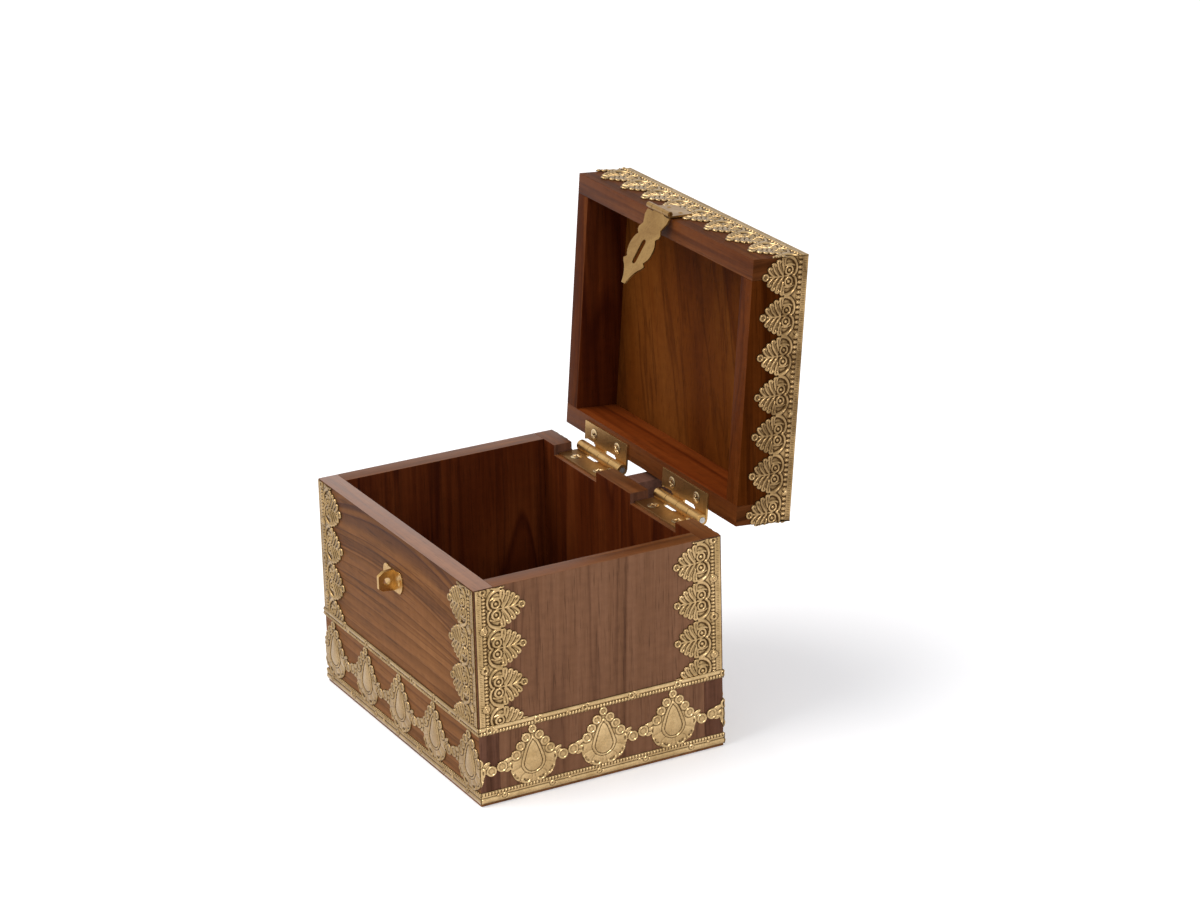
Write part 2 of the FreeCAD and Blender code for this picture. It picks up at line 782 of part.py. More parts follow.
def main():
    os.makedirs("parts", exist_ok=True)

    strips = corner_strips()
    strip_pins = []
    wall_holes = []
    for name, (sheet, pins, holes) in strips.items():
        save(name, sheet)
        strip_pins += pins
        wall_holes += holes
    band, band_pins, band_holes = base_band()
    save("base_band", band)
    save("strip_pins", strip_pins)
    save("band_pins", band_pins)
    wall_holes += band_holes

    save("front_wall", front_wall(wall_holes))
    save("back_wall", back_wall(wall_holes))
    save("left_wall", side_wall(-1, wall_holes))
    save("right_wall", side_wall(1, wall_holes))
    save("bottom_panel", bottom_panel(wall_holes))
    save("lid_stop", lid_stop())

    lid_pins = []
    lid_holes = []
    trims = lid_strips()
    nails = leaf_nail_points()
    for name, (sheet, pins, holes) in trims.items():
        if name == "lid_strip_front":
            sheet = sheet.cut(Part.makeCompound([nail_room(point, -y_axis) for point in nails]))
        save(name, opened(sheet))
        lid_pins += pins
        lid_holes += holes
    save("lid_strip_pins", [opened(shape) for shape in lid_pins])
    for name in ("front", "back", "left", "right"):
        save("lid_" + name + "_rail", opened(lid_rail(name, lid_holes)))
    save("lid_top_panel", opened(lid_top_panel(lid_holes)))

    chest_screws = []
    lid_screws = []
    for side, centre in zip(("left", "right"), hinge_centres):
        save("hinge_leaf_chest_" + side, hinge_leaf(centre, False))
        save("hinge_leaf_lid_" + side, opened(hinge_leaf(centre, True)))
        save("hinge_pin_" + side, hinge_pin(centre))
        chest_screws += [hinge_screw(*place) for place in screw_points(centre, False)]
        lid_screws += [opened(hinge_screw(*place)) for place in screw_points(centre, True)]
    save("hinge_screws_chest", chest_screws)
    save("hinge_screws_lid", lid_screws)

    save("staple", staple())
    save("staple_nails", [nail(point, -y_axis) for point in staple_nail_points()])
    save("hasp_leaf", opened(hasp_leaf()))
    save("hasp_nails", [opened(nail(point, -y_axis)) for point in nails])
    save("hasp_pin", opened(hasp_pin()))
    save("hasp_strap", opened(hasp_strap()))

    print("hinge axis", hinge_point, "hasp axis closed", hasp_point)
    turned = Part.Vertex(hasp_point)
    turned.rotate(hinge_point, x_axis, -lid_open_deg)
    print("hasp axis open", turned.Point, "padlock hole", padlock_point())


main()
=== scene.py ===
"""The looks of a small wooden chest with embossed brass trim, in metres and in the part's frame."""
import math

import bmesh
import bpy
import numpy as np
from mathutils import Matrix, Vector


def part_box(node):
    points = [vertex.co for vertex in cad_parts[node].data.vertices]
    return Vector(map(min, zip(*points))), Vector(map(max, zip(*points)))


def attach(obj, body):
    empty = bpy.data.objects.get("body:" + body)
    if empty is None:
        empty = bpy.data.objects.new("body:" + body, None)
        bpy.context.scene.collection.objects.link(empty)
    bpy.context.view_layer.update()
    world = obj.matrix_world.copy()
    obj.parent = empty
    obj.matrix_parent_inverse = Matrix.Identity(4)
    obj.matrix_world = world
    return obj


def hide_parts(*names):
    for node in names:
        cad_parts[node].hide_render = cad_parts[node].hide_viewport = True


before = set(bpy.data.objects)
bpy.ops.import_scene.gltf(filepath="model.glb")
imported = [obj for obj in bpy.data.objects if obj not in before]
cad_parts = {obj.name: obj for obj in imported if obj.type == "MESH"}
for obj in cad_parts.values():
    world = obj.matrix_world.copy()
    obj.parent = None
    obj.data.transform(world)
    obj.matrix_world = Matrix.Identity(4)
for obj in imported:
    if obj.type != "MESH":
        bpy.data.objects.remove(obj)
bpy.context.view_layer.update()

# Patterns are drawn in millimetres and built in metres
mm = 0.001

# The chest and lid, in millimetres as in the part
body_w = 150.0
body_d = 115.0
body_h = 96.0
wall = 9.0
bottom = 6.0
lid_low = 96.2
lid_high = 122.5
lid_top = 6.0
notch_clear = 0.5
half_w = body_w / 2
half_d = body_d / 2
inner_w = half_w - wall
inner_d = half_d - wall

# The lid's axis, and how far each body is turned at rest from how its pieces are drawn
hinge_point = Vector((0, 62.0, 93.8)) * mm
opened = Matrix.Translation(hinge_point) @ Matrix.Rotation(math.radians(-95), 4, "X")
rest_turns = {"chest": Matrix.Identity(4), "lid": opened @ Matrix.Translation(-hinge_point)}

# Trim: the sheet's own height over the wood, the grid it is modelled on, strips and band
sheet_h = 0.22
grid_step = 0.25
trim_t = 0.6
strip_w = 23.0
strip_pitch = 17.2
strip_edge_gap = 0.5
strip_top_gap = 0.4
strip_first_tip = 9.6
lid_strip_w = 22.0
lid_strip_edge_gap = 0.2
lid_front_pitch = 18.0
lid_side_pitch = 17.1
lid_side_first_tip = 8.0
band_low = 1.2
band_high = 35.4
medallions_on_band = 16
medallion_pitch = 2 * (body_w + body_d) / medallions_on_band

# Each face's first low corner, the way along it seen from outside, its width, and how far its
# trim laps past its corners
faces = (
    ("front", np.array((-half_w, -half_d, 0)), np.array((1.0, 0, 0)), body_w, trim_t),
    ("right", np.array((half_w, -half_d, 0)), np.array((0, 1.0, 0)), body_d, 0),
    ("back", np.array((half_w, half_d, 0)), np.array((-1.0, 0, 0)), body_w, trim_t),
    ("left", np.array((-half_w, half_d, 0)), np.array((0, -1.0, 0)), body_d, 0),
)
up = np.array((0, 0, 1.0))

# A distance past any shape, and what beads, studs and cups have in common
far_off = 99.0
bead_squeeze = 0.75
stud_moat = 0.15
stud_rim_h = 0.64
stud_bead_h = 0.30
stud_bead_r = 0.45
cup_moat = 0.18
cup_floor_h = 0.24
cup_rise_h = 0.26
cup_floor_in = 0.45
cup_lip_h = 0.66
cup_lip_w = 0.46


# Height patterns. All take and give millimetres, on arrays.

def ridge(distance, half_width):
    """A half-round ridge, 1 on its line and 0 past its half width."""
    return np.sqrt(np.clip(1 - (distance / half_width) ** 2, 0, 1))


def swell(depth, full):
    """A rounded rise from an edge, 0 at the edge and 1 from a full depth inside it."""
    return np.sqrt(np.clip(depth / full, 0, 1))


def raised(height, level, shape):
    """A height map with a shape of a given height laid over it wherever it stands higher."""
    return np.maximum(height, np.where(shape > 0, sheet_h + level * shape, 0))


def lined(height, v, lines):
    """A height map with straight ridges over it, from rows of place, half width and level."""
    for place, half_width, level in lines:
        height = raised(height, level, ridge(v - place, half_width))
    return height


def flattened(height, gap, moat):
    """A height map brought down to the plain sheet inside a shape and a moat round it."""
    return np.where(gap < moat, np.minimum(height, sheet_h), height)


def laid(height, gap, level, moat):
    """A height map with a shape set into it at its own level, in a moat of plain sheet."""
    return np.where(gap < 0, sheet_h + level, flattened(height, gap, moat))


def disc(u, v, at, radius):
    """Signed distance to a round disc."""
    return np.hypot(u - at[0], v - at[1]) - radius


def taper(u, v, start, end, start_r, end_r, bulge=1.0):
    """Signed distance to a round-ended bar of changing radius, the share along it, and how far across."""
    du = end[0] - start[0]
    dv = end[1] - start[1]
    size = math.hypot(du, dv)
    along = ((u - start[0]) * du + (v - start[1]) * dv) / size
    across = ((u - start[0]) * dv - (v - start[1]) * du) / size
    share = np.clip(along / size, 0, 1)
    gap = np.hypot(along - share * size, across) - (start_r + (end_r - start_r) * share ** bulge)
    return gap, share, across


def bent(u, v, foot, bend, end, foot_r, end_r, pieces=4):
    """Signed distance to a round-ended bar along a bent line, the share along it, and how far across."""
    shares = np.linspace(0, 1, pieces + 1)
    points = [
        [(1 - s) ** 2 * a + 2 * s * (1 - s) * b + s * s * c for a, b, c in zip(foot, bend, end)]
        for s in shares
    ]
    best = np.full(u.shape, far_off)
    along = np.zeros(u.shape)
    off = np.zeros(u.shape)
    for k in range(pieces):
        radii = [foot_r + (end_r - foot_r) * s for s in shares[k:k + 2]]
        gap, share, across = taper(u, v, points[k], points[k + 1], *radii)
        nearer = gap < best
        best = np.where(nearer, gap, best)
        along = np.where(nearer, (k + share) / pieces, along)
        off = np.where(nearer, across, off)
    return best, along, off


def wrapped(u, first, pitch):
    """Distance along the strip from the nearest of a row of centres."""
    return (u - first + pitch / 2) % pitch - pitch / 2


def bead_row(u, v, place, pitch, radius):
    """A row of beads along u, a little longer across the row."""
    near = (u / pitch - np.floor(u / pitch) - 0.5) * pitch
    return ridge(np.hypot(near, (v - place) * bead_squeeze), radius)


def stud(height, gap, radius, rim):
    """A ring with a rim of a given width round a dimple and a small bead."""
    height = flattened(height, gap, stud_moat)
    height = raised(height, stud_rim_h, ridge(gap + rim, rim) * (gap < 0))
    return raised(height, stud_bead_h, ridge(gap + radius, stud_bead_r))


def cup(height, gap, radius):
    """A shallow round cup with a raised lip."""
    share = np.clip(1 + gap / radius, 0, 1)
    bowl = (cup_floor_h + cup_rise_h * share ** 3) * (gap < -cup_floor_in)
    return laid(height, gap, np.maximum(bowl, cup_lip_h * ridge(gap + cup_lip_w, cup_lip_w)), cup_moat)


# A palmette's leaves on one side: foot on the midrib, bend, and the middle of its round end
palmette_leaves = (
    ((0.3, 9.9), (4.6, 12.8), (7.20, 12.3)),
    ((0.2, 11.8), (3.9, 14.8), (6.20, 14.8)),
    ((0.1, 13.9), (2.8, 16.7), (4.85, 17.0)),
    ((0.1, 16.1), (1.7, 18.3), (3.15, 18.9)),
)
leaf_foot_r = 0.72
leaf_end_r = 1.32
leaf_moat = 0.16
leaf_floor_h = 0.10
leaf_pillow_h = 0.16
leaf_lip_h = 0.42
# Half widths of a palmette's sheet, under the leaves, at heights over the plain edge
palmette_waist = ((11.0, 12.4, 14.3, 16.0, 17.6, 19.1, 20.9), (8.2, 7.4, 6.5, 5.4, 4.1, 2.6, 1.5))
palmette_sunk = 0.04
palmette_foot = 11.3
palmette_top = 20.9
midrib_ends = (12.0, 19.8)
midrib_r = 0.42
midrib_h = 0.46
tip_at = (0, 20.95)
tip_r = 1.75
# Its scroll: arc with its half widths by height, volute, curl, pocket, bud and bead
arc_at = (3.3, 10.3)
arc_r = 4.85
arc_half_w = ((5.4, 8.5, 12.4), (0.50, 0.82, 0.62))
arc_top = 12.3
arc_h = 0.60
scroll_ends = (5.0, 12.0)
scroll_sunk = 0.10
volute_at = (2.45, 9.3)
volute_r = 2.25
volute_moat = 0.35
volute_rim_w = 0.50
volute_rim_h = 0.58
volute_eye_r = 0.86
volute_eye_h = 0.66
curl_line = ((4.3, 6.7), (5.4, 8.6), (4.6, 10.9), 0.25, 0.50)
curl_h = 0.44
pocket_line = ((5.2, 6.9), (6.6, 8.3), (6.9, 10.5), 0.30, 0.62)
pocket_level = 0.02
bud_line = ((0, 12.2), (0, 9.6), 0.25, 0.50)
bud_h = 0.50
foot_bead_up = 6.9
foot_bead_r = 0.72
foot_bead_h = 0.52


def scroll(side, v, height):
    """The scroll at a palmette's foot, laid over a height map."""
    arc = disc(side, v, arc_at, arc_r)
    volute = disc(side, v, volute_at, volute_r)
    under = (arc < 0) & (v < scroll_ends[1] - 0.30 * side) & (v > scroll_ends[0])
    height = np.where(under | (volute < volute_moat), sheet_h - scroll_sunk, height)
    wing = ridge(arc - 0.05, np.interp(v, *arc_half_w)) * (v < arc_top) * (side > 0.5)
    height = raised(height, arc_h, wing)
    height = raised(height, volute_rim_h, ridge(volute + volute_rim_w, volute_rim_w))
    height = raised(height, volute_eye_h, ridge(volute + volute_r, volute_eye_r))
    curl, _, _ = bent(side, v, *curl_line)
    height = raised(height, curl_h, swell(-curl, 0.45))
    pocket, _, _ = bent(side, v, *pocket_line)
    height = np.where(pocket < 0, pocket_level, height)
    bud, _, _ = taper(side, v, *bud_line)
    height = raised(height, bud_h, swell(-bud, 0.5))
    return raised(height, foot_bead_h, ridge(np.hypot(side, v - foot_bead_up), foot_bead_r))


def palmette(u, v):
    """Height of a palmette about its midrib, and its signed distance to the outline."""
    side = np.abs(u)
    height = np.full(u.shape, sheet_h - palmette_sunk)
    sheet = np.maximum((side - np.interp(v, *palmette_waist)) * 0.8, v - palmette_top)
    outline = np.minimum(v - palmette_foot, sheet)
    for line in palmette_leaves:
        gap, share, across = bent(side, v, *line, leaf_foot_r, leaf_end_r)
        outline = np.minimum(outline, gap)
        lip = ridge(across + 0.40 + 0.42 * share, 0.52)
        cap = np.clip((share - 0.80) / 0.14, 0, 1) * ridge(gap + 0.55, 0.60)
        leaf = leaf_floor_h + leaf_pillow_h * swell(-gap, 0.5) + leaf_lip_h * np.maximum(lip, cap)
        height = laid(height, gap, leaf, leaf_moat)
    midrib = ridge(side, midrib_r) * (v > midrib_ends[0]) * (v < midrib_ends[1])
    height = raised(height, midrib_h, midrib)
    gap = disc(side, v, tip_at, tip_r)
    outline = np.minimum(outline, gap)
    return scroll(side, v, cup(height, gap, tip_r)), outline


# A strip's plain edge: ridges by place, half width and level, fine ribs, beads and rosettes
strip_lines = ((0.35, 0.42, 0.30), (2.45, 0.30, 0.24))
ribs_per_palmette = 22
rib_place = 1.45
rib_reach = 0.75
rib_half_w = 0.30
rib_h = 0.26
strip_bead_place = 3.70
strip_bead_h = 0.70
strip_rosette_place = 3.35
strip_rosette_r = 1.75
strip_rosette_rim = 0.60
# How many beads there are to a palmette, and their radius
chest_beads = (11, 0.70)
lid_beads = (8, 0.86)


def strip_pattern(length, first, pitch, width, beads, rosettes):
    """The pattern of a palmette strip, with its beads and with or without rosettes."""
    count, bead_r = beads

    def pattern(u, v):
        v = v * strip_w / width
        around = wrapped(u, first, pitch) * strip_pitch / pitch
        height, outline = palmette(around, v)
        row = bead_row(u - first, v, strip_bead_place, pitch / count, bead_r)
        height = lined(raised(height, strip_bead_h, row), v, strip_lines)
        ribs = ridge(wrapped(u, first, pitch / ribs_per_palmette), rib_half_w)
        height = raised(height, rib_h, ribs * (np.abs(v - rib_place) < rib_reach))
        if rosettes:
            gap = disc(np.abs(around), v, (strip_pitch / 2, strip_rosette_place), strip_rosette_r)
            height = stud(height, gap, strip_rosette_r, strip_rosette_rim)
        ends = np.maximum(-u, u - length)
        return height, np.maximum(np.maximum(outline, ends), -v)
    return pattern


# A medallion's sheet and its drop with the frame round it, as bars for taper
crown_sheet = ((0, 27.0), (7.4, 17.6), 2.0, 2.7)
drop_frame = ((0, 26.2), (0, 15.4), 0.30, 5.6, 0.62)
drop_form = ((0, 24.4), (0, 14.9), 0.25, 4.15, 0.62)
# Rings of a medallion's crown: across, up, radius
crown_rings = ((0.0, 29.7, 1.95), (3.10, 26.5, 2.15), (5.75, 23.1, 2.20), (7.90, 19.5, 2.30))
# Petals of the lotus under the drop: inner end, outer end, outer radius, and the way the lip faces
lotus_petals = (
    ((1.4, 11.5), (3.3, 8.35), 2.75, -70),
    ((2.8, 13.5), (7.4, 10.4), 2.85, -38),
    ((4.2, 16.0), (9.4, 15.0), 2.30, 4),
)
petal_foot_r = 1.2
petal_h = 0.16
petal_pillow_h = 0.30
petal_groove_h = 0.26
petal_lip_h = 0.68
# The rounded square that holds the lotus, cut off at its top
bowl_half_w = 10.8
bowl_half_h = 11.7
bowl_size = 10.5
bowl_middle = 17.4
bowl_top = 17.8
bowl_power = 2.7


def lotus(side, v, height, outline):
    """The six petals of a medallion's foot, laid over a height map and an outline."""
    squared = (side / bowl_half_w) ** bowl_power + (np.abs(v - bowl_middle) / bowl_half_h) ** bowl_power
    bowl = np.maximum((squared ** (1 / bowl_power) - 1) * bowl_size, v - bowl_top)
    outline = np.minimum(outline, bowl)
    height = np.where(bowl < 0, sheet_h + 0.30 * swell(-bowl, 0.8), height)
    for start, end, radius, facing in reversed(lotus_petals):
        gap, _, _ = taper(side, v, start, end, petal_foot_r, radius)
        turn = math.radians(facing)
        off_u = side - end[0]
        off_v = v - end[1]
        ahead = off_u * math.cos(turn) + off_v * math.sin(turn)
        ahead = ahead / np.maximum(np.hypot(off_u, off_v), 0.01)
        lip = np.clip((ahead - 0.10) * 2.5, 0, 1)
        pillow = petal_h + petal_pillow_h * swell(-gap, 2.6)
        pillow = pillow - petal_groove_h * ridge(gap + 1.70, 0.95) * lip
        pillow = np.maximum(pillow, petal_lip_h * ridge(gap + 0.60, 0.66) * lip)
        level = np.where(gap < 0, sheet_h + pillow, np.where(gap < 0.2, sheet_h + petal_h, height))
        height = np.where(bowl < 0, level, height)
    return height, outline


def medallion(u, v):
    """Height of a drop medallion about its middle line, and its signed distance to the outline."""
    side = np.abs(u)
    outline, _, _ = taper(side, v, *crown_sheet)
    height = np.full(u.shape, sheet_h + 0.12)
    height, outline = lotus(side, v, height, outline)

    gap, _, _ = taper(side, v, *drop_frame)
    outline = np.minimum(outline, gap)
    height = np.where(gap < 0.25, sheet_h + 0.02, height)
    height = np.where(gap < 0, sheet_h + 0.26 + 0.34 * ridge(gap + 0.65, 0.70), height)
    drop, _, _ = taper(side, v, *drop_form)
    height = np.where(drop < 0.30, sheet_h + 0.10, height)
    height = np.where(drop < -0.05, sheet_h + 0.28 + 0.36 * swell(-drop, 3.0), height)

    return with_rings(side, v, crown_rings, height, outline)


def with_rings(u, v, rings, height, outline):
    """Cups laid over a height map and an outline."""
    for across, high, radius in rings:
        gap = disc(u, v, (across, high), radius)
        outline = np.minimum(outline, gap)
        height = cup(height, gap, radius)
    return height, outline


# Rings and leaves of the arms between two medallions, about the middle between them
arm_rings = ((-2.75, 15.1, 2.45), (2.10, 16.1, 2.50))
arm_leaves = (
    ((-9.4, 15.6), (-6.2, 17.0), (-4.4, 16.0), 2.8, 2.0),
    ((8.8, 15.8), (6.2, 17.8), (3.8, 16.8), 2.9, 2.0),
    ((-6.6, 17.2), (-5.2, 18.9), (-3.9, 18.9), 0.9, 0.7),
    ((5.2, 14.2), (4.4, 13.4), (3.6, 14.2), 0.9, 0.7),
)
arm_moat = 0.2


def arms(u, v):
    """Height and outline of the arms between two medallions, about the middle between them."""
    height = np.full(u.shape, sheet_h)
    outline = np.full(u.shape, far_off)
    for line in arm_leaves:
        gap, _, across = bent(u, v, *line)
        outline = np.minimum(outline, gap)
        leaf = 0.14 + 0.34 * swell(-gap, 0.9) - 0.22 * ridge(across, 0.40) * (gap < -0.6)
        height = laid(height, gap, leaf, arm_moat)
    return with_rings(u, v, arm_rings, height, outline)


# The band's borders: sheets by middle and half height, ridges as on a strip, rows of beads by
# place and radius, and rosettes by place, radius and shift along the band
border_sheets = ((33.4, 1.95), (3.65, 2.45))
border_lines = ((34.35, 0.98, 0.72), (4.15, 0.36, 0.40), (2.55, 1.05, 0.56), (1.35, 0.5, 0.20))
border_beads = ((32.45, 0.64), (5.25, 0.62))
border_bead_pitch = 1.46
border_bead_h = 0.62
border_rosettes = ((33.55, 1.6, 0), (3.3, 1.25, 6.0))
rosette_pitch = 22.1
rosette_rim = 0.5
# Where the band's relief may lie over its borders, and where its outline counts
relief_ends = (4.6, 31.6)
outline_top = 33


def borders(u, v):
    """Height and outline of the band's two borders."""
    outline = np.minimum(*[np.abs(v - middle) - half for middle, half in border_sheets])
    height = lined(np.full(u.shape, sheet_h), v, border_lines)
    for place, radius in border_beads:
        height = raised(height, border_bead_h, bead_row(u, v, place, border_bead_pitch, radius))
    for place, radius, shift in border_rosettes:
        gap = disc(wrapped(u, shift, rosette_pitch), v, (0, place), radius)
        height = stud(height, gap, radius, rosette_rim)
    return height, outline


def band_pattern(start, low_end, high_end):
    """The pattern of the base band along one face, which begins at start round the chest."""
    first = half_w % medallion_pitch

    def pattern(u, v):
        v = v + band_low
        round_u = u + start
        height, outline = borders(round_u, v)
        for shape, centre in ((arms, first + medallion_pitch / 2), (medallion, first)):
            part, gap = shape(wrapped(round_u, centre, medallion_pitch), v)
            over = (gap < 0) & (v > relief_ends[0]) & (v < relief_ends[1])
            height = np.where(over, part, height)
            outline = np.minimum(outline, np.where(v < outline_top, gap, far_off))
        ends = np.maximum(low_end - u, u - high_end)
        return height, np.maximum(outline, ends)
    return pattern


# Building meshes

def close_ends(mesh):
    """Fills a mesh's open ends."""
    bm = bmesh.new()
    bm.from_mesh(mesh)
    bmesh.ops.holes_fill(bm, edges=bm.edges, sides=0)
    bm.to_mesh(mesh)
    bm.free()


def soiled_and_shaded(mesh, values):
    """Stores how sunken each point is, which the brasses darken as dirt and as painted shade in the
    hollows.
    """
    dirt_and_shade = mesh.attributes.new("cavity", "FLOAT", "POINT")
    dirt_and_shade.data.foreach_set("value", values.astype(np.float32))


def shown(name, data, *materials):
    """A new object in the scene, with its materials."""
    for material in materials:
        data.materials.append(material)
    thing = bpy.data.objects.new(name, data)
    bpy.context.scene.collection.objects.link(thing)
    return thing


def stand_for(piece, node, body):
    """Shows a piece in place of a node of the part."""
    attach(piece, body)
    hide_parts(node)


def smooth(mesh, limit):
    """Smooth shading, with sharp edges over a limit in degrees."""
    mesh.shade_smooth()
    mesh.set_sharp_from_angle(angle=math.radians(limit))


# Embossed sheets: which grid points are kept and which are pulled onto the outline, in grid steps
# from it, the share of the height left there, and how dirt and painted shade are read from the relief
kept_past = 0.6
pulled_past = -0.4
rim_share = 0.8
hollow_blur = 8
hollow_gain = 4.0
hollow_start = 0.35
edge_dirt_and_shade = 0.9
sheet_sharp = 55


def blurred(field, times):
    """A height map softened by averaging with its neighbours."""
    for _ in range(times):
        pad = np.pad(field, 1, mode="edge")
        field = (pad[:-2, 1:-1] + pad[2:, 1:-1] + pad[1:-1, :-2] + pad[1:-1, 2:] + 2 * field) / 6
    return field


def outline_slope(pattern, u, v):
    """Which way the distance to the outline grows, as a unit vector at each point."""
    reach = grid_step / 5
    du = pattern(u + reach, v)[1] - pattern(u - reach, v)[1]
    dv = pattern(u, v + reach)[1] - pattern(u, v - reach)[1]
    size = np.maximum(np.hypot(du, dv), reach / 10)
    return du / size, dv / size


def cell_corners(grid):
    """The values at the four corners of each cell of a grid."""
    return np.stack([grid[:-1, :-1], grid[1:, :-1], grid[1:, 1:], grid[:-1, 1:]], -1)


def open_edges(quads, total):
    """The edges of a sheet's faces that no other face has."""
    edges = np.concatenate([quads[:, [k, (k + 1) % 4]] for k in range(4)]).astype(np.int64)
    onward = edges[:, 0] * total + edges[:, 1]
    flipped = edges[:, 1] * total + edges[:, 0]
    return edges[~np.isin(onward, flipped)]


def emboss(name, node, body, material, pattern, span_u, span_v, origin, along_u, along_v):
    """An embossed sheet on a face: a height map cut along its outline, with a turned-down edge."""
    counts = [int(round((high - low) / grid_step)) + 1 for low, high in (span_u, span_v)]
    u, v = np.meshgrid(np.linspace(*span_u, counts[0]), np.linspace(*span_v, counts[1]), indexing="ij")
    height, outline = pattern(u, v)
    inside = outline < kept_past * grid_step
    close = inside & (outline > pulled_past * grid_step)
    slope_u, slope_v = outline_slope(pattern, u, v)
    u = np.clip(np.where(close, u - outline * slope_u, u), *span_u)
    v = np.clip(np.where(close, v - outline * slope_v, v), *span_v)
    height = blurred(height, 1) * np.where(close, rim_share, 1)
    # Points lower than their neighbours count as sunken, and the brass darkens them: dirt and painted
    # shade
    cavity = np.clip((blurred(height, hollow_blur) - height) * hollow_gain + hollow_start, 0, 1)

    total = u.size
    quads = cell_corners(np.arange(total).reshape(u.shape))[cell_corners(inside).all(-1)]
    rim = open_edges(quads, total)
    skirt = np.stack([rim[:, 1], rim[:, 0], rim[:, 0] + total, rim[:, 1] + total], -1)
    every = np.concatenate([quads, skirt])
    place = np.array(origin) + np.outer(u.ravel(), along_u) + np.outer(v.ravel(), along_v)
    top = place + np.outer(height.ravel(), np.cross(along_u, along_v))
    used, order = np.unique(every, return_inverse=True)
    mesh = bpy.data.meshes.new(name)
    mesh.from_pydata(np.concatenate([top, place])[used] * mm, [], order.reshape(every.shape))
    # The turned-down edges count as sunken: dirt and painted shade where the sheet stands off the wood
    soiled_and_shaded(mesh, np.concatenate([cavity.ravel(), np.full(total, edge_dirt_and_shade)])[used])
    mesh.transform(rest_turns[body])
    smooth(mesh, sheet_sharp)
    stand_for(shown(name, mesh, material), node, body)


# Node helpers

class Nodes:
    """Short ways to add and join the nodes of a material or a world."""

    def __init__(self, owner):
        owner.use_nodes = True
        self.owner = owner
        self.tree = owner.node_tree

    def add(self, kind, **values):
        """A new node, with its settings and with its inputs set or linked."""
        node = self.tree.nodes.new(kind)
        for key, value in values.items():
            if key in node.inputs:
                self.feed(node.inputs[key], value)
            else:
                setattr(node, key, value)
        return node

    def feed(self, socket, value):
        """Sets a socket to a number, vector or colour, or links an output to it."""
        if isinstance(value, bpy.types.NodeSocket):
            self.tree.links.new(value, socket)
        elif isinstance(value, tuple) and socket.type == "RGBA":
            socket.default_value = (*value, 1)
        else:
            socket.default_value = value

    def place(self, scale, shift=(0, 0, 0), tilt=(0, 0, 0)):
        """Object coordinates in metres, tilted, then scaled and shifted."""
        vector = self.add("ShaderNodeTexCoord").outputs["Object"]
        vector = self.add("ShaderNodeMapping", Vector=vector, Rotation=tilt).outputs[0]
        return self.add("ShaderNodeMapping", Vector=vector, Scale=scale, Location=shift).outputs[0]

    def noise(self, vector, scale, detail=4.0, rough=0.55, distortion=0.0):
        node = self.add("ShaderNodeTexNoise", Vector=vector, Scale=scale, Detail=detail, Roughness=rough,
                        Distortion=distortion)
        return node.outputs["Fac"]

    def ramp(self, value, *stops):
        node = self.add("ShaderNodeValToRGB", Fac=value)
        elements = node.color_ramp.elements
        while len(elements) < len(stops):
            elements.new(0.5)
        for element, (at, colour) in zip(elements, stops):
            element.position = at
            element.color = (colour, colour, colour, 1) if isinstance(colour, float) else (*colour, 1)
        return node.outputs["Color"]

    def mix(self, how, share, low, high):
        node = self.add("ShaderNodeMix", data_type="RGBA", blend_type=how)
        for socket, value in ((node.inputs[0], share), (node.inputs[6], low), (node.inputs[7], high)):
            self.feed(socket, value)
        return node.outputs[2]

    def maths(self, how, first, second=0.0):
        node = self.add("ShaderNodeMath", operation=how)
        for socket, value in zip(node.inputs, (first, second)):
            self.feed(socket, value)
        return node.outputs[0]

    def times(self, first, second):
        return self.maths("MULTIPLY", first, second)

    def plus(self, first, second):
        return self.maths("ADD", first, second)

    def blend(self, first, first_share, second, second_share):
        """Two values added by their shares."""
        return self.plus(self.times(first, first_share), self.times(second, second_share))

    def bump(self, **values):
        return self.add("ShaderNodeBump", **values).outputs[0]

    def finish(self, **values):
        """Sets or links the shader's sockets by name."""
        shader = self.tree.nodes["Principled BSDF"]
        for key, value in values.items():
            self.feed(shader.inputs[key.replace("_", " ")], value)
        return self.owner


# Materials

def stretched(axis, share):
    """A scale that draws a texture out along one axis."""
    return tuple(share if name == axis else 1.0 for name in "XYZ")


def bowed_growth(n, body):
    """Growth lines that bow: their phase, the height they follow, and how strong their dark band is."""
    place = n.add("ShaderNodeSeparateXYZ", Vector=n.add("ShaderNodeTexCoord").outputs["Object"]).outputs
    off = n.maths("SUBTRACT", place["X"], bow_middle)
    fade = n.ramp(place["Z"], (bow_low, 0.0), (bow_high, 1.0))
    level = n.plus(place["Z"], n.times(n.times(n.times(off, off), bow), fade))
    phase = n.blend(level, lines_per_metre, body, line_wander)
    spread = n.add("ShaderNodeTexNoise", noise_dimensions="1D", W=phase, Scale=0.45, Detail=3.0)
    uneven = spread.outputs["Fac"]
    band = n.ramp(level, (band_from, 0.0), (band_full, 1.0))
    band = n.times(band, n.ramp(uneven, (0.42, 0.95), (0.58, 0.15)))
    return n.plus(phase, n.times(uneven, 3.0)), level, band


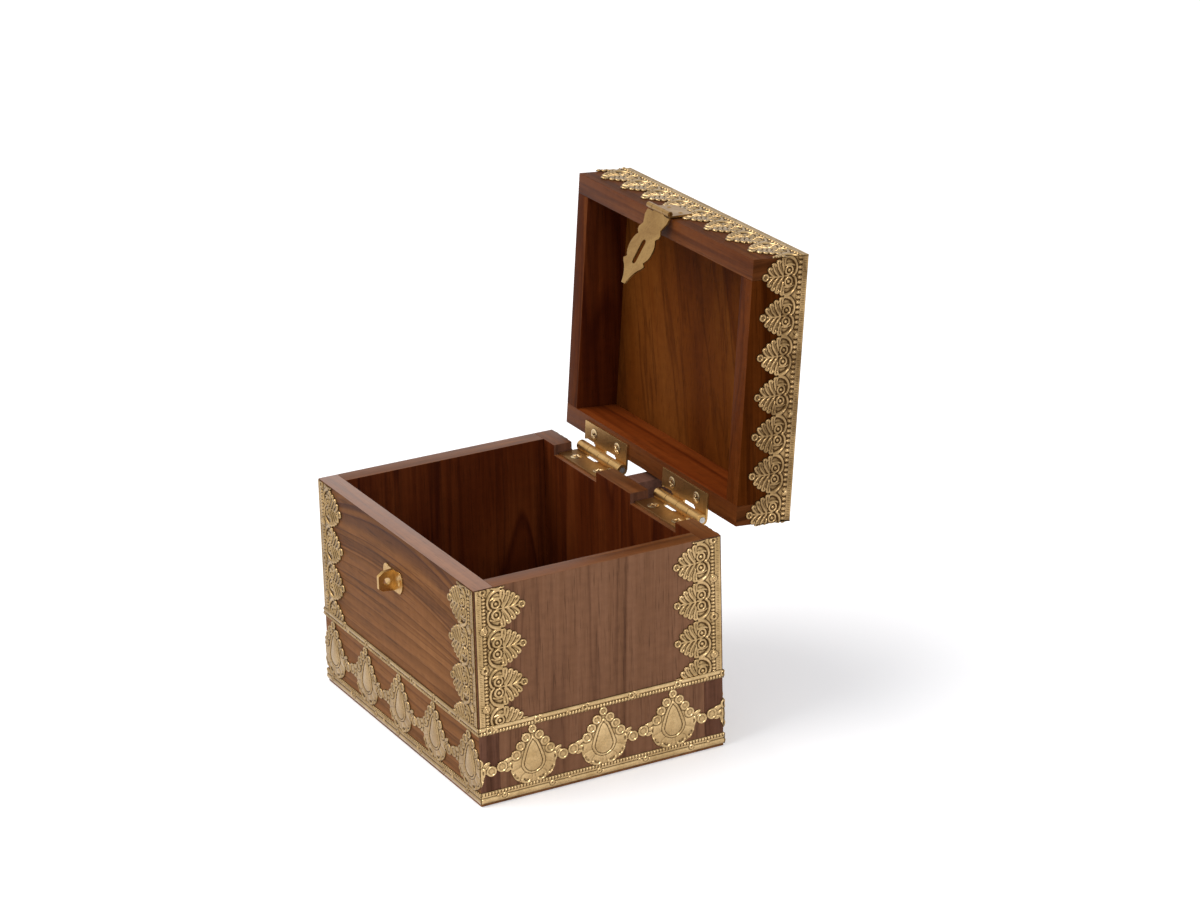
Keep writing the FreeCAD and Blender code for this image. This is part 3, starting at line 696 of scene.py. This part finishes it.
def wood(name, colours, axis, shift, rough, specular, coat=0.0, tilt=(0, 0, 0), rings=11.0, bowed=False,
         inked=0.5, fine=0.44, cloudy=0.36):
    """Oiled hardwood: growth lines that wander along the grain, dark veins, pores and mottling.

    colours run from the dark veins to the lightest wood, and axis is the way of the grain.
    """
    n = Nodes(bpy.data.materials.new(name))

    def grain(share, *values, turned=(0, 0, 0)):
        """A noise drawn out along the grain."""
        return n.noise(n.place(stretched(axis, share), shift, turned), *values)

    body = grain(0.10, 15.0, 2.0, 0.45, 0.25, turned=tilt)
    if bowed:
        ink = growth_ink
        line_width = bowed_line_width
        phase, level, band = bowed_growth(n, body)
    else:
        ink = colours[0]
        line_width = plain_line_width
        phase = n.times(body, rings)
    growth = n.maths("FRACT", phase)
    lines = n.ramp(growth, (0.0, 0.20), (0.07, 0.80), (0.62, 0.62), (0.90, 0.40), (1.0, 0.20))
    veins = grain(0.045, 60.0, 3.0, 0.6, 0.4, turned=tilt)
    dark = n.ramp(n.maths("ABSOLUTE", n.maths("SUBTRACT", veins, 0.46)), (0.0, 0.0), (0.035, 1.0))
    streaks = grain(0.03, 420.0, 3.0, 0.62, turned=tilt)
    clouds = grain(0.35, 22.0, 3.0, 0.55, 0.5)
    ripple = grain(1.6, 210.0, 2.0, 0.5)
    pores = grain(0.05, 1500.0, 2.0, 0.5)

    shade = n.plus(n.blend(lines, 0.30, streaks, fine), n.times(clouds, cloudy))
    colour = n.ramp(shade, (0.32, colours[0]), (0.47, colours[1]), (0.60, colours[2]), (0.74, colours[3]))
    colour = n.mix("MIX", n.ramp(dark, (0.0, 0.50), (1.0, 0.0)), colour, colours[0])
    edge = n.ramp(
        growth, (0.0, 1.0), (line_width / 2, 0.25), (line_width, 0.0), (1 - line_width, 0.0), (1.0, 1.0))
    patchy = n.ramp(grain(0.2, 35.0, 2.0), (0.40, 0.15), (0.62, 1.0))
    if bowed:
        patchy = n.times(patchy, n.ramp(level, (0.045, 0.30), (0.066, 1.0)))
    colour = n.mix("MIX", n.times(n.times(edge, patchy), inked), colour, ink)
    if bowed:
        colour = n.mix("MIX", n.times(band, 0.62), colour, ink)
    colour = n.mix("MULTIPLY", 0.45, colour, n.ramp(ripple, (0.35, 0.78), (0.65, 1.0)))
    pits = n.ramp(pores, (0.58, 1.0), (0.70, 0.42))
    colour = n.mix("MULTIPLY", 0.55, colour, pits)
    polish = n.ramp(n.blend(streaks, 0.5, clouds, 0.5), (0.35, rough), (0.70, rough + 0.14))
    waves = n.bump(Height=n.blend(clouds, 0.7, lines, 0.3), Strength=0.20, Distance=0.0005)
    normal = n.bump(Height=pits, Strength=0.30, Distance=0.00010, Normal=waves)
    return n.finish(Base_Color=colour, Roughness=polish, Normal=normal, Specular_IOR_Level=specular,
                    Coat_Weight=coat, Coat_Roughness=0.22)


def brass(name, worn, tarnished, gloss, dirt_and_shade=0.0):
    """Aged brass: worn bright where proud, tarnished in patches, with dirt and painted shade where
    sunken.
    """
    n = Nodes(bpy.data.materials.new(name))
    even = n.place((1, 1, 1))
    patches = n.noise(even, 85.0, 4.0, 0.6, 0.8)
    specks = n.noise(even, 1300.0, 2.0, 0.6)
    scratches = n.noise(n.place((1, 0.08, 0.5), (0, 0, 0), (0.4, 0.3, 0.5)), 2400.0, 2.0)
    colour = n.mix("MIX", n.ramp(patches, (0.36, 0.0), (0.66, 1.0)), worn, tarnished)
    rough = n.ramp(patches, (0.3, gloss), (0.75, gloss + 0.14))
    if dirt_and_shade:
        # Sunken places turn towards the tarnish and then towards a near-black: dirt, and painted shade in
        # the hollows
        sunk = n.add("ShaderNodeAttribute", attribute_name="cavity").outputs["Fac"]
        tired = n.times(n.ramp(sunk, (0.12, 0.0), (0.50, 1.0)), 0.65)
        colour = n.mix("MIX", tired, colour, tarnished)
        uneven = n.plus(sunk, n.times(n.maths("SUBTRACT", specks, 0.5), 0.35))
        grime_and_shade = n.ramp(uneven, (0.42, 0.0), (0.80, 1.0))
        colour = n.mix("MIX", n.times(grime_and_shade, dirt_and_shade), colour, grime_and_shade_tone)
        rough = n.mix("MIX", n.times(grime_and_shade, 0.7), rough, (0.70, 0.70, 0.70))
    colour = n.mix("MULTIPLY", 0.40, colour, n.ramp(specks, (0.45, 1.0), (0.72, 0.50)))
    normal = n.bump(Height=n.blend(scratches, 0.6, specks, 0.4), Strength=0.25, Distance=0.00008)
    return n.finish(Base_Color=colour, Roughness=rough, Metallic=1.0, Normal=normal)


def steel(name):
    """The dull end of a steel pin."""
    n = Nodes(bpy.data.materials.new(name))
    spots = n.noise(n.place((1, 1, 1)), 900.0, 3.0)
    colour = n.ramp(spots, (0.35, (0.30, 0.29, 0.27)), (0.7, (0.50, 0.49, 0.47)))
    normal = n.bump(Height=spots, Strength=0.3, Distance=0.00008)
    return n.finish(Base_Color=colour, Roughness=0.38, Metallic=1.0, Normal=normal)


def tones(*colours):
    """A wood's colours from the dark veins to the lightest wood, given in thousandths."""
    return [tuple(part / 1000 for part in colour) for colour in colours]


outer_tones = tones((75, 28, 8), (145, 56, 16), (200, 80, 26), (265, 115, 42))
side_tones = tones((85, 36, 20), (150, 68, 34), (182, 84, 44), (215, 103, 56))
inner_tones = tones((30, 4, 1), (62, 10, 2), (92, 17, 3), (135, 30, 6))
panel_tones = tones((50, 11, 2), (85, 19, 3), (120, 30, 4), (165, 49, 8))
lid_tones = tones((30, 8, 2), (64, 17, 3), (92, 26, 6), (130, 42, 11))
rim_tones = tones((85, 30, 12), (160, 60, 24), (215, 85, 36), (285, 125, 58))
side_rim_tones = tones((62, 17, 4), (118, 37, 9), (158, 52, 14), (212, 80, 25))
end_tones = tones((60, 24, 14), (100, 42, 24), (125, 54, 32), (155, 70, 44))
ledge_tones = tones((70, 11, 2), (125, 22, 3), (170, 34, 5), (220, 54, 10))
lid_side_tones = tones((20, 4, 1), (43, 9, 1), (62, 14, 2), (88, 23, 4))
lid_rim_tones = tones((45, 10, 2), (90, 22, 4), (125, 34, 7), (170, 54, 14))
lid_edge_tones = tones((36, 7, 1), (74, 15, 2), (102, 24, 4), (138, 38, 8))
bare_tones = tones((50, 20, 12), (85, 36, 22), (115, 50, 32), (150, 72, 48))
growth_ink = (0.052, 0.021, 0.015)
plain_line_width = 0.09
bowed_line_width = 0.20
# The near-black of dirt and painted shade in the brass's hollows
grime_and_shade_tone = (0.045, 0.020, 0.006)

# The front's growth lines bow up to a middle, more so near the top, where a band of them is dark.
# Places are in metres.
bow_middle = 0.006
bow = 2.3
bow_low = 0.045
bow_high = 0.090
lines_per_metre = 165.0
line_wander = 6.5
band_from = 0.058
band_full = 0.094

front_wood = wood("front wood", outer_tones, "X", (0.0, 0.051, -0.030), 0.50, 0.05, bowed=True,
                  inked=0.9, fine=0.32, cloudy=0.48)
plain_wood = wood("plain wood", outer_tones, "X", (0.06, 0.021, -0.010), 0.50, 0.05)
end_wood = wood("end wood", end_tones, "Z", (0.01, 0.08, 0.03), 0.55, 0.03)
lid_end_wood = wood("lid end wood", lid_tones, "Y", (0.01, 0.08, 0.03), 0.50, 0.02)
side_wood = wood("side wood", side_tones, "Z", (0.02, 0.09, 0.013), 0.50, 0.04, tilt=(0.04, 0, 0))
lid_wood = wood("lid wood", lid_tones, "X", (0.03, 0.01, 0.07), 0.46, 0.03)
lid_side_wood = wood("lid side wood", lid_side_tones, "Z", (0.05, 0.02, 0.03), 0.48, 0.0)
front_rim = wood("front rim", rim_tones, "X", (0.01, 0.02, 0.03), 0.34, 0.42, 0.25)
back_rim = wood("back rim", side_rim_tones, "X", (0.04, 0.03, 0.02), 0.40, 0.15, 0.04)
side_rim = wood("side rim", side_rim_tones, "Y", (0.02, 0.05, 0.01), 0.38, 0.18, 0.05)
lid_long_rim = wood("lid long rim", lid_rim_tones, "X", (0.03, 0.02, 0.03), 0.38, 0.05)
lid_side_rim = wood("lid side rim", lid_edge_tones, "Z", (0.02, 0.04, 0.01), 0.38, 0.02)
lid_ledge_wood = wood("lid ledge wood", ledge_tones, "X", (0.01, 0.05, 0.04), 0.42, 0.05)
inside_wood = wood("inside wood", inner_tones, "Z", (0.04, 0.03, 0.01), 0.44, 0.06)
floor_wood = wood("inside floor wood", inner_tones, "X", (0.04, 0.03, 0.01), 0.44, 0.06)
lid_inside_wood = wood("lid inside wood", inner_tones, "X", (0.01, 0.05, 0.04), 0.42, 0.06)
lid_side_inside_wood = wood("lid side inside wood", inner_tones, "Z", (0.01, 0.05, 0.04), 0.42, 0.05)
panel_wood = wood("lid panel wood", panel_tones, "Z", (0.02, 0.06, 0.04), 0.44, 0.01, tilt=(0, 0.25, 0),
                  rings=5.0, fine=0.20, cloudy=0.62)
bare_wood = wood("bare wood", bare_tones, "X", (0.01, 0.02, 0.03), 0.60, 0.08)
band_brass = brass("band brass", (0.66, 0.47, 0.24), (0.44, 0.295, 0.135), 0.20, 0.80)
strip_brass = brass("strip brass", (0.58, 0.40, 0.20), (0.35, 0.23, 0.10), 0.20, 0.92)
# Darker copies of the strip and band brass for the chest's front: painted shade
shaded_front_brass = brass("shaded front strip brass", (0.47, 0.315, 0.145), (0.27, 0.172, 0.072), 0.20, 0.92)
shaded_front_band_brass = brass("shaded front band brass", (0.45, 0.310, 0.150), (0.30, 0.195, 0.088), 0.22, 0.88)
# A darker copy of the strip brass for the lid's side strips, darkened more in its hollows: painted shade
shaded_lid_side_brass = brass("shaded lid side strip brass", (0.45, 0.295, 0.135), (0.165, 0.098, 0.039), 0.22, 0.95)
# A brighter copy of the sheet brass for the staple and its nails: painted highlight
highlit_staple_brass = brass("highlit staple brass", (0.60, 0.37, 0.125), (0.42, 0.245, 0.078), 0.24)
sheet_brass = brass("sheet brass", (0.38, 0.225, 0.076), (0.25, 0.137, 0.043), 0.28)
hinge_brass = brass("hinge brass", (0.55, 0.335, 0.125), (0.40, 0.230, 0.078), 0.27)
screw_brass = brass("screw brass", (0.86, 0.66, 0.39), (0.62, 0.44, 0.22), 0.22, 0.95)
pin_steel = steel("pin steel")


# Wooden boards

# Softened edges of boards and of the stop block, and how squarely a side meets its facing
board_edge = 0.35
block_edge = 0.25
facing_share = 0.6
board_sharp = 50


def slab(body, node, name, materials, outline, low, high, axis, facings=(), edge=board_edge,
         slot="polished_wood"):
    """A board with softened edges: an outline pushed from low to high along an axis.

    The first material is the board's own, and each further one is for the sides that face its facing.
    """
    bm = bmesh.new()
    rings = []
    for level in (low, high):
        corners = []
        for a, b in outline:
            point = {"x": (level, a, b), "y": (a, level, b), "z": (a, b, level)}[axis]
            corners.append(bm.verts.new(Vector(point) * mm))
        rings.append(corners)
    bm.faces.new(rings[0])
    bm.faces.new(list(reversed(rings[1])))
    count = len(outline)
    for k in range(count):
        after = (k + 1) % count
        bm.faces.new((rings[0][after], rings[0][k], rings[1][k], rings[1][after]))
    bmesh.ops.recalc_face_normals(bm, faces=bm.faces)
    bmesh.ops.bevel(bm, geom=list(bm.edges), offset=edge * mm, segments=2, profile=0.7, affect="EDGES")
    bmesh.ops.recalc_face_normals(bm, faces=bm.faces)
    for face in bm.faces:
        for number, facing in enumerate(facings):
            if face.normal.dot(Vector(facing)) > facing_share:
                face.material_index = number + 1
    mesh = bpy.data.meshes.new(name)
    bm.to_mesh(mesh)
    bm.free()
    smooth(mesh, board_sharp)
    mesh.transform(rest_turns[body])
    stand_for(shown(name, mesh, *materials), node, body)


def rectangle(a0, a1, b0, b1):
    return [(a0, b0), (a1, b0), (a1, b1), (a0, b1)]


def box_in_mm(node):
    """A node's lowest and highest corners, in millimetres."""
    return [Vector(corner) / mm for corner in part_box(node)]


def notched_outline():
    """The back wall seen from the front, with the notches for the hinges in its rim."""
    points = [(-half_w, bottom), (half_w, bottom), (half_w, body_h)]
    for name in ("hinge_leaf_chest_right", "hinge_leaf_chest_left"):
        low, high = box_in_mm(name)
        right = high.x + notch_clear
        left = low.x - notch_clear
        points += [(right, body_h), (right, low.z), (left, low.z), (left, body_h)]
    points.append((-half_w, body_h))
    return points


# The ways that the sides of a board face
rightward = (1, 0, 0)
leftward = (-1, 0, 0)
backward = (0, 1, 0)
forward = (0, -1, 0)
upward = (0, 0, 1)
downward = (0, 0, -1)


def walls(body, low, high, rim, back, rows):
    """The four walls of the chest or lid, from rows of node, name and materials.

    back is the back wall's outline where it isn't the front wall's.
    """
    front = rectangle(-half_w, half_w, low, high)
    side = rectangle(-inner_d, inner_d, low, high)
    places = (
        (front, -half_d, -inner_d, "y", (backward, rim, rightward, leftward)),
        (back or front, inner_d, half_d, "y", (forward, rim, rightward, leftward)),
        (side, -half_w, -inner_w, "x", (rightward, rim)),
        (side, inner_w, half_w, "x", (leftward, rim)),
    )
    for row, place in zip(rows, places):
        slab(body, *row, *place)


def chest_boards():
    """The four walls, the bottom and the stop block."""
    short = (side_wood, inside_wood, side_rim)
    walls("chest", bottom, body_h, upward, notched_outline(), (
        ("front_wall", "front_board", (front_wood, inside_wood, front_rim, end_wood, end_wood)),
        ("back_wall", "back_board", (plain_wood, inside_wood, back_rim, end_wood, end_wood)),
        ("left_wall", "left_board", short),
        ("right_wall", "right_board", short),
    ))
    foot = rectangle(-half_w, half_w, -half_d, half_d)
    both = (plain_wood, floor_wood)
    slab("chest", "bottom_panel", "bottom_board", both, foot, 0, bottom, "z", (upward,))
    low, high = box_in_mm("lid_stop")
    face = rectangle(low.x, high.x, low.z, high.z)
    slab("chest", "lid_stop", "stop_block", (bare_wood,), face, low.y, high.y, "y", edge=block_edge,
         slot="bare_wood")


def lid_boards():
    """The lid's four rails and its top."""
    roof = lid_high - lid_top
    rim_and_ends = (lid_long_rim, lid_end_wood, lid_end_wood)
    short = (lid_side_wood, lid_side_inside_wood, lid_side_rim)
    walls("lid", lid_low, roof, downward, None, (
        ("lid_front_rail", "lid_front", (lid_wood, lid_inside_wood, *rim_and_ends)),
        ("lid_back_rail", "lid_back", (lid_wood, lid_ledge_wood, *rim_and_ends)),
        ("lid_left_rail", "lid_left", short),
        ("lid_right_rail", "lid_right", short),
    ))
    top = rectangle(-half_w, half_w, -half_d, half_d)
    both = (lid_wood, panel_wood)
    slab("lid", "lid_top_panel", "lid_top", both, top, roof, lid_high, "z", (downward,))


# Trim

def chest_strips():
    """The two upright strips on each face of the chest, named for their face and the one beside it."""
    length = body_h - strip_top_gap - band_high
    from_top, from_band = [
        strip_pattern(length, first, strip_pitch, strip_w, chest_beads, True)
        for first in (strip_first_tip, (length - strip_first_tip) % strip_pitch)
    ]
    names = [row[0] for row in faces]
    for k, (face, corner, along, width, _) in enumerate(faces):
        # The front's strips take a darker copy of the brass: painted shade
        metal = shaded_front_brass if face == "front" else strip_brass
        near = corner + along * strip_edge_gap + up * (band_high + length)
        far = corner + along * (width - strip_edge_gap) + up * band_high
        for beside, pattern, origin, u, v in (
            (names[k - 1], from_top, near, -up, along),
            (names[(k + 1) % len(names)], from_band, far, up, -along),
        ):
            node = face + "_strip_" + beside
            emboss(node + "_relief", node, "chest", metal, pattern, (0, length), (0, strip_w),
                   origin, u, v)


def lid_strips():
    """The strips round the lid."""
    top = up * (lid_high - lid_strip_edge_gap)
    for face, corner, along, width, lap in faces:
        length = width + 2 * lap
        if lap:
            pitch = lid_front_pitch
            first = (length / 2 - pitch / 2) % pitch
            metal = strip_brass
        else:
            pitch = lid_side_pitch
            first = lid_side_first_tip if face == "left" else (length - lid_side_first_tip) % pitch
            # The lid's side strips take a darker copy of the brass: painted shade
            metal = shaded_lid_side_brass
        node = "lid_strip_" + face
        origin = corner + along * (width + lap) + top
        pattern = strip_pattern(length, first, pitch, lid_strip_w, lid_beads, False)
        emboss(node + "_relief", node, "lid", metal, pattern, (0, length), (0, lid_strip_w),
               origin, -along, -up)


def base_band():
    """The pierced band round the foot, one sheet to a face."""
    start = 0
    for face, corner, along, width, lap in faces:
        pattern = band_pattern(start, -lap, width + lap)
        # The front's band takes a darker copy of the brass: painted shade
        metal = shaded_front_band_brass if face == "front" else band_brass
        emboss("band_" + face, "base_band", "chest", metal, pattern, (-lap, width + lap),
               (0, band_high - band_low), corner + up * band_low, along, up)
        start += width


# Hardware

# How softened meshes are made: what counts as one point, one plane, no face and an edge, the way
# along which faces are put in the same order each run, and how far edges are rounded
same_point = 0.002
same_plane = 1.0
no_face = 0.001
edge_from = 35
sorted_along = Vector((1, 2, 3))
metal_sharp = 40
leaf_edge = 0.12
strap_edge = 0.10
hasp_leaf_edge = 0.08


def softened(node, body, material, width):
    """A copy of a node's mesh with rounded edges, shown in its place."""
    bm = bmesh.new()
    bm.from_mesh(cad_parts[node].data)
    bmesh.ops.remove_doubles(bm, verts=bm.verts, dist=same_point * mm)
    bmesh.ops.dissolve_limit(bm, angle_limit=math.radians(same_plane), verts=bm.verts, edges=bm.edges)
    sharp = [e for e in bm.edges if e.is_convex and e.calc_face_angle(0) > math.radians(edge_from)]
    bmesh.ops.bevel(
        bm, geom=sharp, offset=width * mm, segments=2, profile=0.6, affect="EDGES", clamp_overlap=True)
    bmesh.ops.dissolve_degenerate(bm, dist=no_face * mm, edges=bm.edges)
    bm.faces.sort(key=lambda face: face.calc_center_median().dot(sorted_along))
    mesh = bpy.data.meshes.new(node + "_softened")
    bm.to_mesh(mesh)
    bm.free()
    smooth(mesh, metal_sharp)
    piece = shown(node + "_softened", mesh, material)
    piece.modifiers.new("flat faces", "WEIGHTED_NORMAL").keep_sharp = True
    stand_for(piece, node, body)


def dress(node, material):
    """Gives a node of the part its finish."""
    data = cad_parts[node].data
    data.materials.clear()
    data.materials.append(material)


# Hinge screws, in millimetres: places, head, recess, shank and thread, and how finely they are made
screw_spacing = 21.0
screw_from_axis = 7.2
screw_head_r = 2.7
screw_dome = 0.42
screw_seat = 1.5
recess_reach = 1.65
recess_half = 0.34
recess_deep = 0.55
recess_flank = 0.16
recess_end = 0.3
screw_shank_r = 1.0
thread_pitch = 1.1
thread_rise = 0.2
screw_l = 8.0
screw_tip_l = 1.6
screw_tip_share = 0.1
screw_middle_r = 0.02
screw_steps = 96
head_rings = 34
shank_rings = 60
screw_sharp = 50
# The heads' levels in the chest's leaves and, with the lid closed, in the lid's
seat_level = 92.3
lid_seat_level = 95.3
# Each screw is turned further than the one before, in degrees
screw_turn = 37


def recess_arm(across, along):
    """One arm of the cross recess, 1 in it and 0 outside it."""
    flanks = (recess_half - np.abs(across)) / recess_flank
    return np.clip(np.minimum(flanks, (recess_reach - np.abs(along)) / recess_end), 0, 1)


def screw(name, place):
    """A countersunk screw with a low domed head, a cross recess and a threaded shank."""
    angle = np.linspace(0, 2 * math.pi, screw_steps, endpoint=False)
    level = np.ones(screw_steps)
    rings = []
    cavity = []
    for radius in np.linspace(screw_middle_r, screw_head_r, head_rings):
        x = radius * np.cos(angle)
        y = radius * np.sin(angle)
        sunk = np.maximum(recess_arm(y, x), recess_arm(x, y))
        dome = screw_dome * np.sqrt(1 - (radius / (screw_head_r * 1.02)) ** 2)
        rings.append(np.stack([x, y, dome - recess_deep * sunk], 1))
        # The cross recess and the head's edge count as sunken, so the brass darkens them: dirt and
        # painted shade
        cavity.append(np.maximum(sunk, (radius / screw_head_r) ** 12))
    for depth in np.linspace(0.0, screw_l, shank_rings)[1:]:
        cone = np.interp(depth, (0, screw_seat), (screw_head_r, screw_shank_r))
        wave = np.abs(((depth / thread_pitch - angle / (2 * math.pi)) % 1) - 0.5) * 2
        narrow = np.interp(depth, (screw_l - screw_tip_l, screw_l), (1.0, screw_tip_share))
        radius = (cone + thread_rise * wave * (depth > screw_seat)) * narrow
        rings.append(np.stack([radius * np.cos(angle), radius * np.sin(angle), -depth * level], 1))
        cavity.append(level)
    points = np.concatenate(rings)
    number = np.arange(len(points)).reshape(len(rings), screw_steps)
    after = np.roll(number, -1, axis=1)
    quads = np.stack([number[:-1], number[1:], after[1:], after[:-1]], -1).reshape(-1, 4)
    mesh = bpy.data.meshes.new(name)
    mesh.from_pydata(points * mm, [], quads)
    soiled_and_shaded(mesh, np.concatenate(cavity))
    close_ends(mesh)
    mesh.transform(place)
    smooth(mesh, screw_sharp)
    return shown(name, mesh, screw_brass)


def screws():
    """The hinges' eight screws, at different turns."""
    number = 0
    for side in ("left", "right"):
        low, high = box_in_mm("hinge_leaf_chest_" + side)
        middle = (low.x + high.x) / 2
        for body, level, facing in (("chest", seat_level, 0), ("lid", lid_seat_level, math.pi)):
            turn = rest_turns[body]
            for way in (-1, 1):
                number += 1
                x = middle + way * screw_spacing / 2
                point = Vector((x, hinge_point.y / mm - screw_from_axis, level)) * mm
                spin = Matrix.Rotation(math.radians(screw_turn * number), 4, "Z")
                place = turn @ Matrix.Translation(point) @ Matrix.Rotation(facing, 4, "X") @ spin
                piece = screw("hinge_screw_%d" % number, place)
                stand_for(piece, "hinge_screws_" + body, body)


def hardware():
    """Hinges, hasp, staple, pins, nails and screws."""
    for side in ("left", "right"):
        softened("hinge_leaf_chest_" + side, "chest", hinge_brass, leaf_edge)
        softened("hinge_leaf_lid_" + side, "lid", hinge_brass, leaf_edge)
        dress("hinge_pin_" + side, pin_steel)
    screws()
    softened("staple", "chest", highlit_staple_brass, strap_edge)
    softened("hasp_leaf", "lid", sheet_brass, hasp_leaf_edge)
    softened("hasp_strap", "hasp_strap", sheet_brass, strap_edge)
    dress("staple_nails", highlit_staple_brass)
    for node in ("hasp_nails", "hasp_pin"):
        dress(node, sheet_brass)
    for node in ("strip_pins", "band_pins", "lid_strip_pins"):
        dress(node, strip_brass)


# Stage, light and camera

# The photograph's view, fitted to the box's corners
camera_place = (1.32499, -0.66200, 0.67434)
camera_right = (0.47695, 0.87859, -0.02437)
camera_up = (-0.29718, 0.18729, 0.93627)
camera_back = (0.82717, -0.43931, 0.35043)
camera_lens = 112.218
camera_near = 0.01

# The table's half side and its level just under the chest, and its glow where it is seen
table_reach = 9.0
table_level = -0.0002
table_glow = 0.26

# The sky as it lights and as it is seen, by colour and strength
skies = (((0.97, 0.98, 1.0), 0.58), ((1, 1, 1), 1.0))

# A wide soft sun: direction, strength, colour and angle in degrees
sun_direction = (0.31, 0.64, -1.06)
sun_strength = 2.0
sun_colour = (1.0, 0.98, 0.95)
sun_width = 46.0

# Square softboxes: name, place, what they face, side, power and colour
softboxes = (
    ("side", (1.5, 0.0, 0.75), (0, 0.03, 0.10), 0.35, 7.0, (0.97, 0.98, 1.0)),
    ("front", (0.5, -1.5, 1.1), (0, 0, 0.08), 0.3, 2.8, (1, 1, 1)),
)


def camera():
    """The camera at the photograph's view."""
    data = bpy.data.cameras.new("camera")
    data.lens = camera_lens
    data.clip_start = camera_near
    thing = shown("camera", data)
    turn = Matrix((camera_right, camera_up, camera_back)).transposed().to_4x4()
    thing.matrix_world = Matrix.Translation(camera_place) @ turn
    bpy.context.scene.camera = thing


def seen_or_mirrored(n):
    """1 for a ray from the camera, from a mirror or through glass, else 0."""
    rays = n.add("ShaderNodeLightPath").outputs
    mirrored = n.maths("MAXIMUM", rays["Is Glossy Ray"], rays["Is Transmission Ray"])
    return n.maths("MAXIMUM", rays["Is Camera Ray"], mirrored)


def table():
    """A pale table that shows white outside the object's shadow."""
    mesh = bpy.data.meshes.new("table")
    corners = rectangle(-table_reach, table_reach, -table_reach, table_reach)
    mesh.from_pydata([(x, y, table_level) for x, y in corners], [], [(0, 1, 2, 3)])
    n = Nodes(bpy.data.materials.new("table"))
    floor = shown("table", mesh, n.finish(
        Base_Color=(0.86, 0.86, 0.87), Roughness=0.9, Specular_IOR_Level=0.0,
        Emission_Color=(1.0, 0.985, 1.0), Emission_Strength=n.times(seen_or_mirrored(n), table_glow)))


def surround():
    """A plain grey-white sky for light, seen as white."""
    world = bpy.data.worlds.new("surround")
    bpy.context.scene.world = world
    n = Nodes(world)
    n.tree.nodes.clear()
    mix = n.add("ShaderNodeMixShader", Fac=seen_or_mirrored(n))
    for socket, (colour, strength) in zip(mix.inputs[1:], skies):
        sky = n.add("ShaderNodeBackground", Color=colour, Strength=strength)
        n.feed(socket, sky.outputs[0])
    n.add("ShaderNodeOutputWorld", Surface=mix.outputs[0])


def lamp(name, kind, facing, power, colour):
    """A light that shines one way."""
    data = bpy.data.lights.new(name, kind)
    data.energy = power
    data.color = colour
    thing = shown(name, data)
    thing.rotation_euler = Vector(facing).to_track_quat("-Z", "Y").to_euler()
    return thing


def stage():
    """A pale table, a white surround and soft studio light."""
    table()
    surround()
    key = lamp("key", "SUN", sun_direction, sun_strength, sun_colour)
    key.data.angle = math.radians(sun_width)
    for name, place, target, size, power, colour in softboxes:
        box = lamp(name, "AREA", Vector(target) - Vector(place), power, colour)
        box.data.size = size
        box.location = place


camera()
chest_boards()
lid_boards()
chest_strips()
lid_strips()
base_band()
hardware()
stage()
bpy.context.scene.view_settings.view_transform = "Standard"
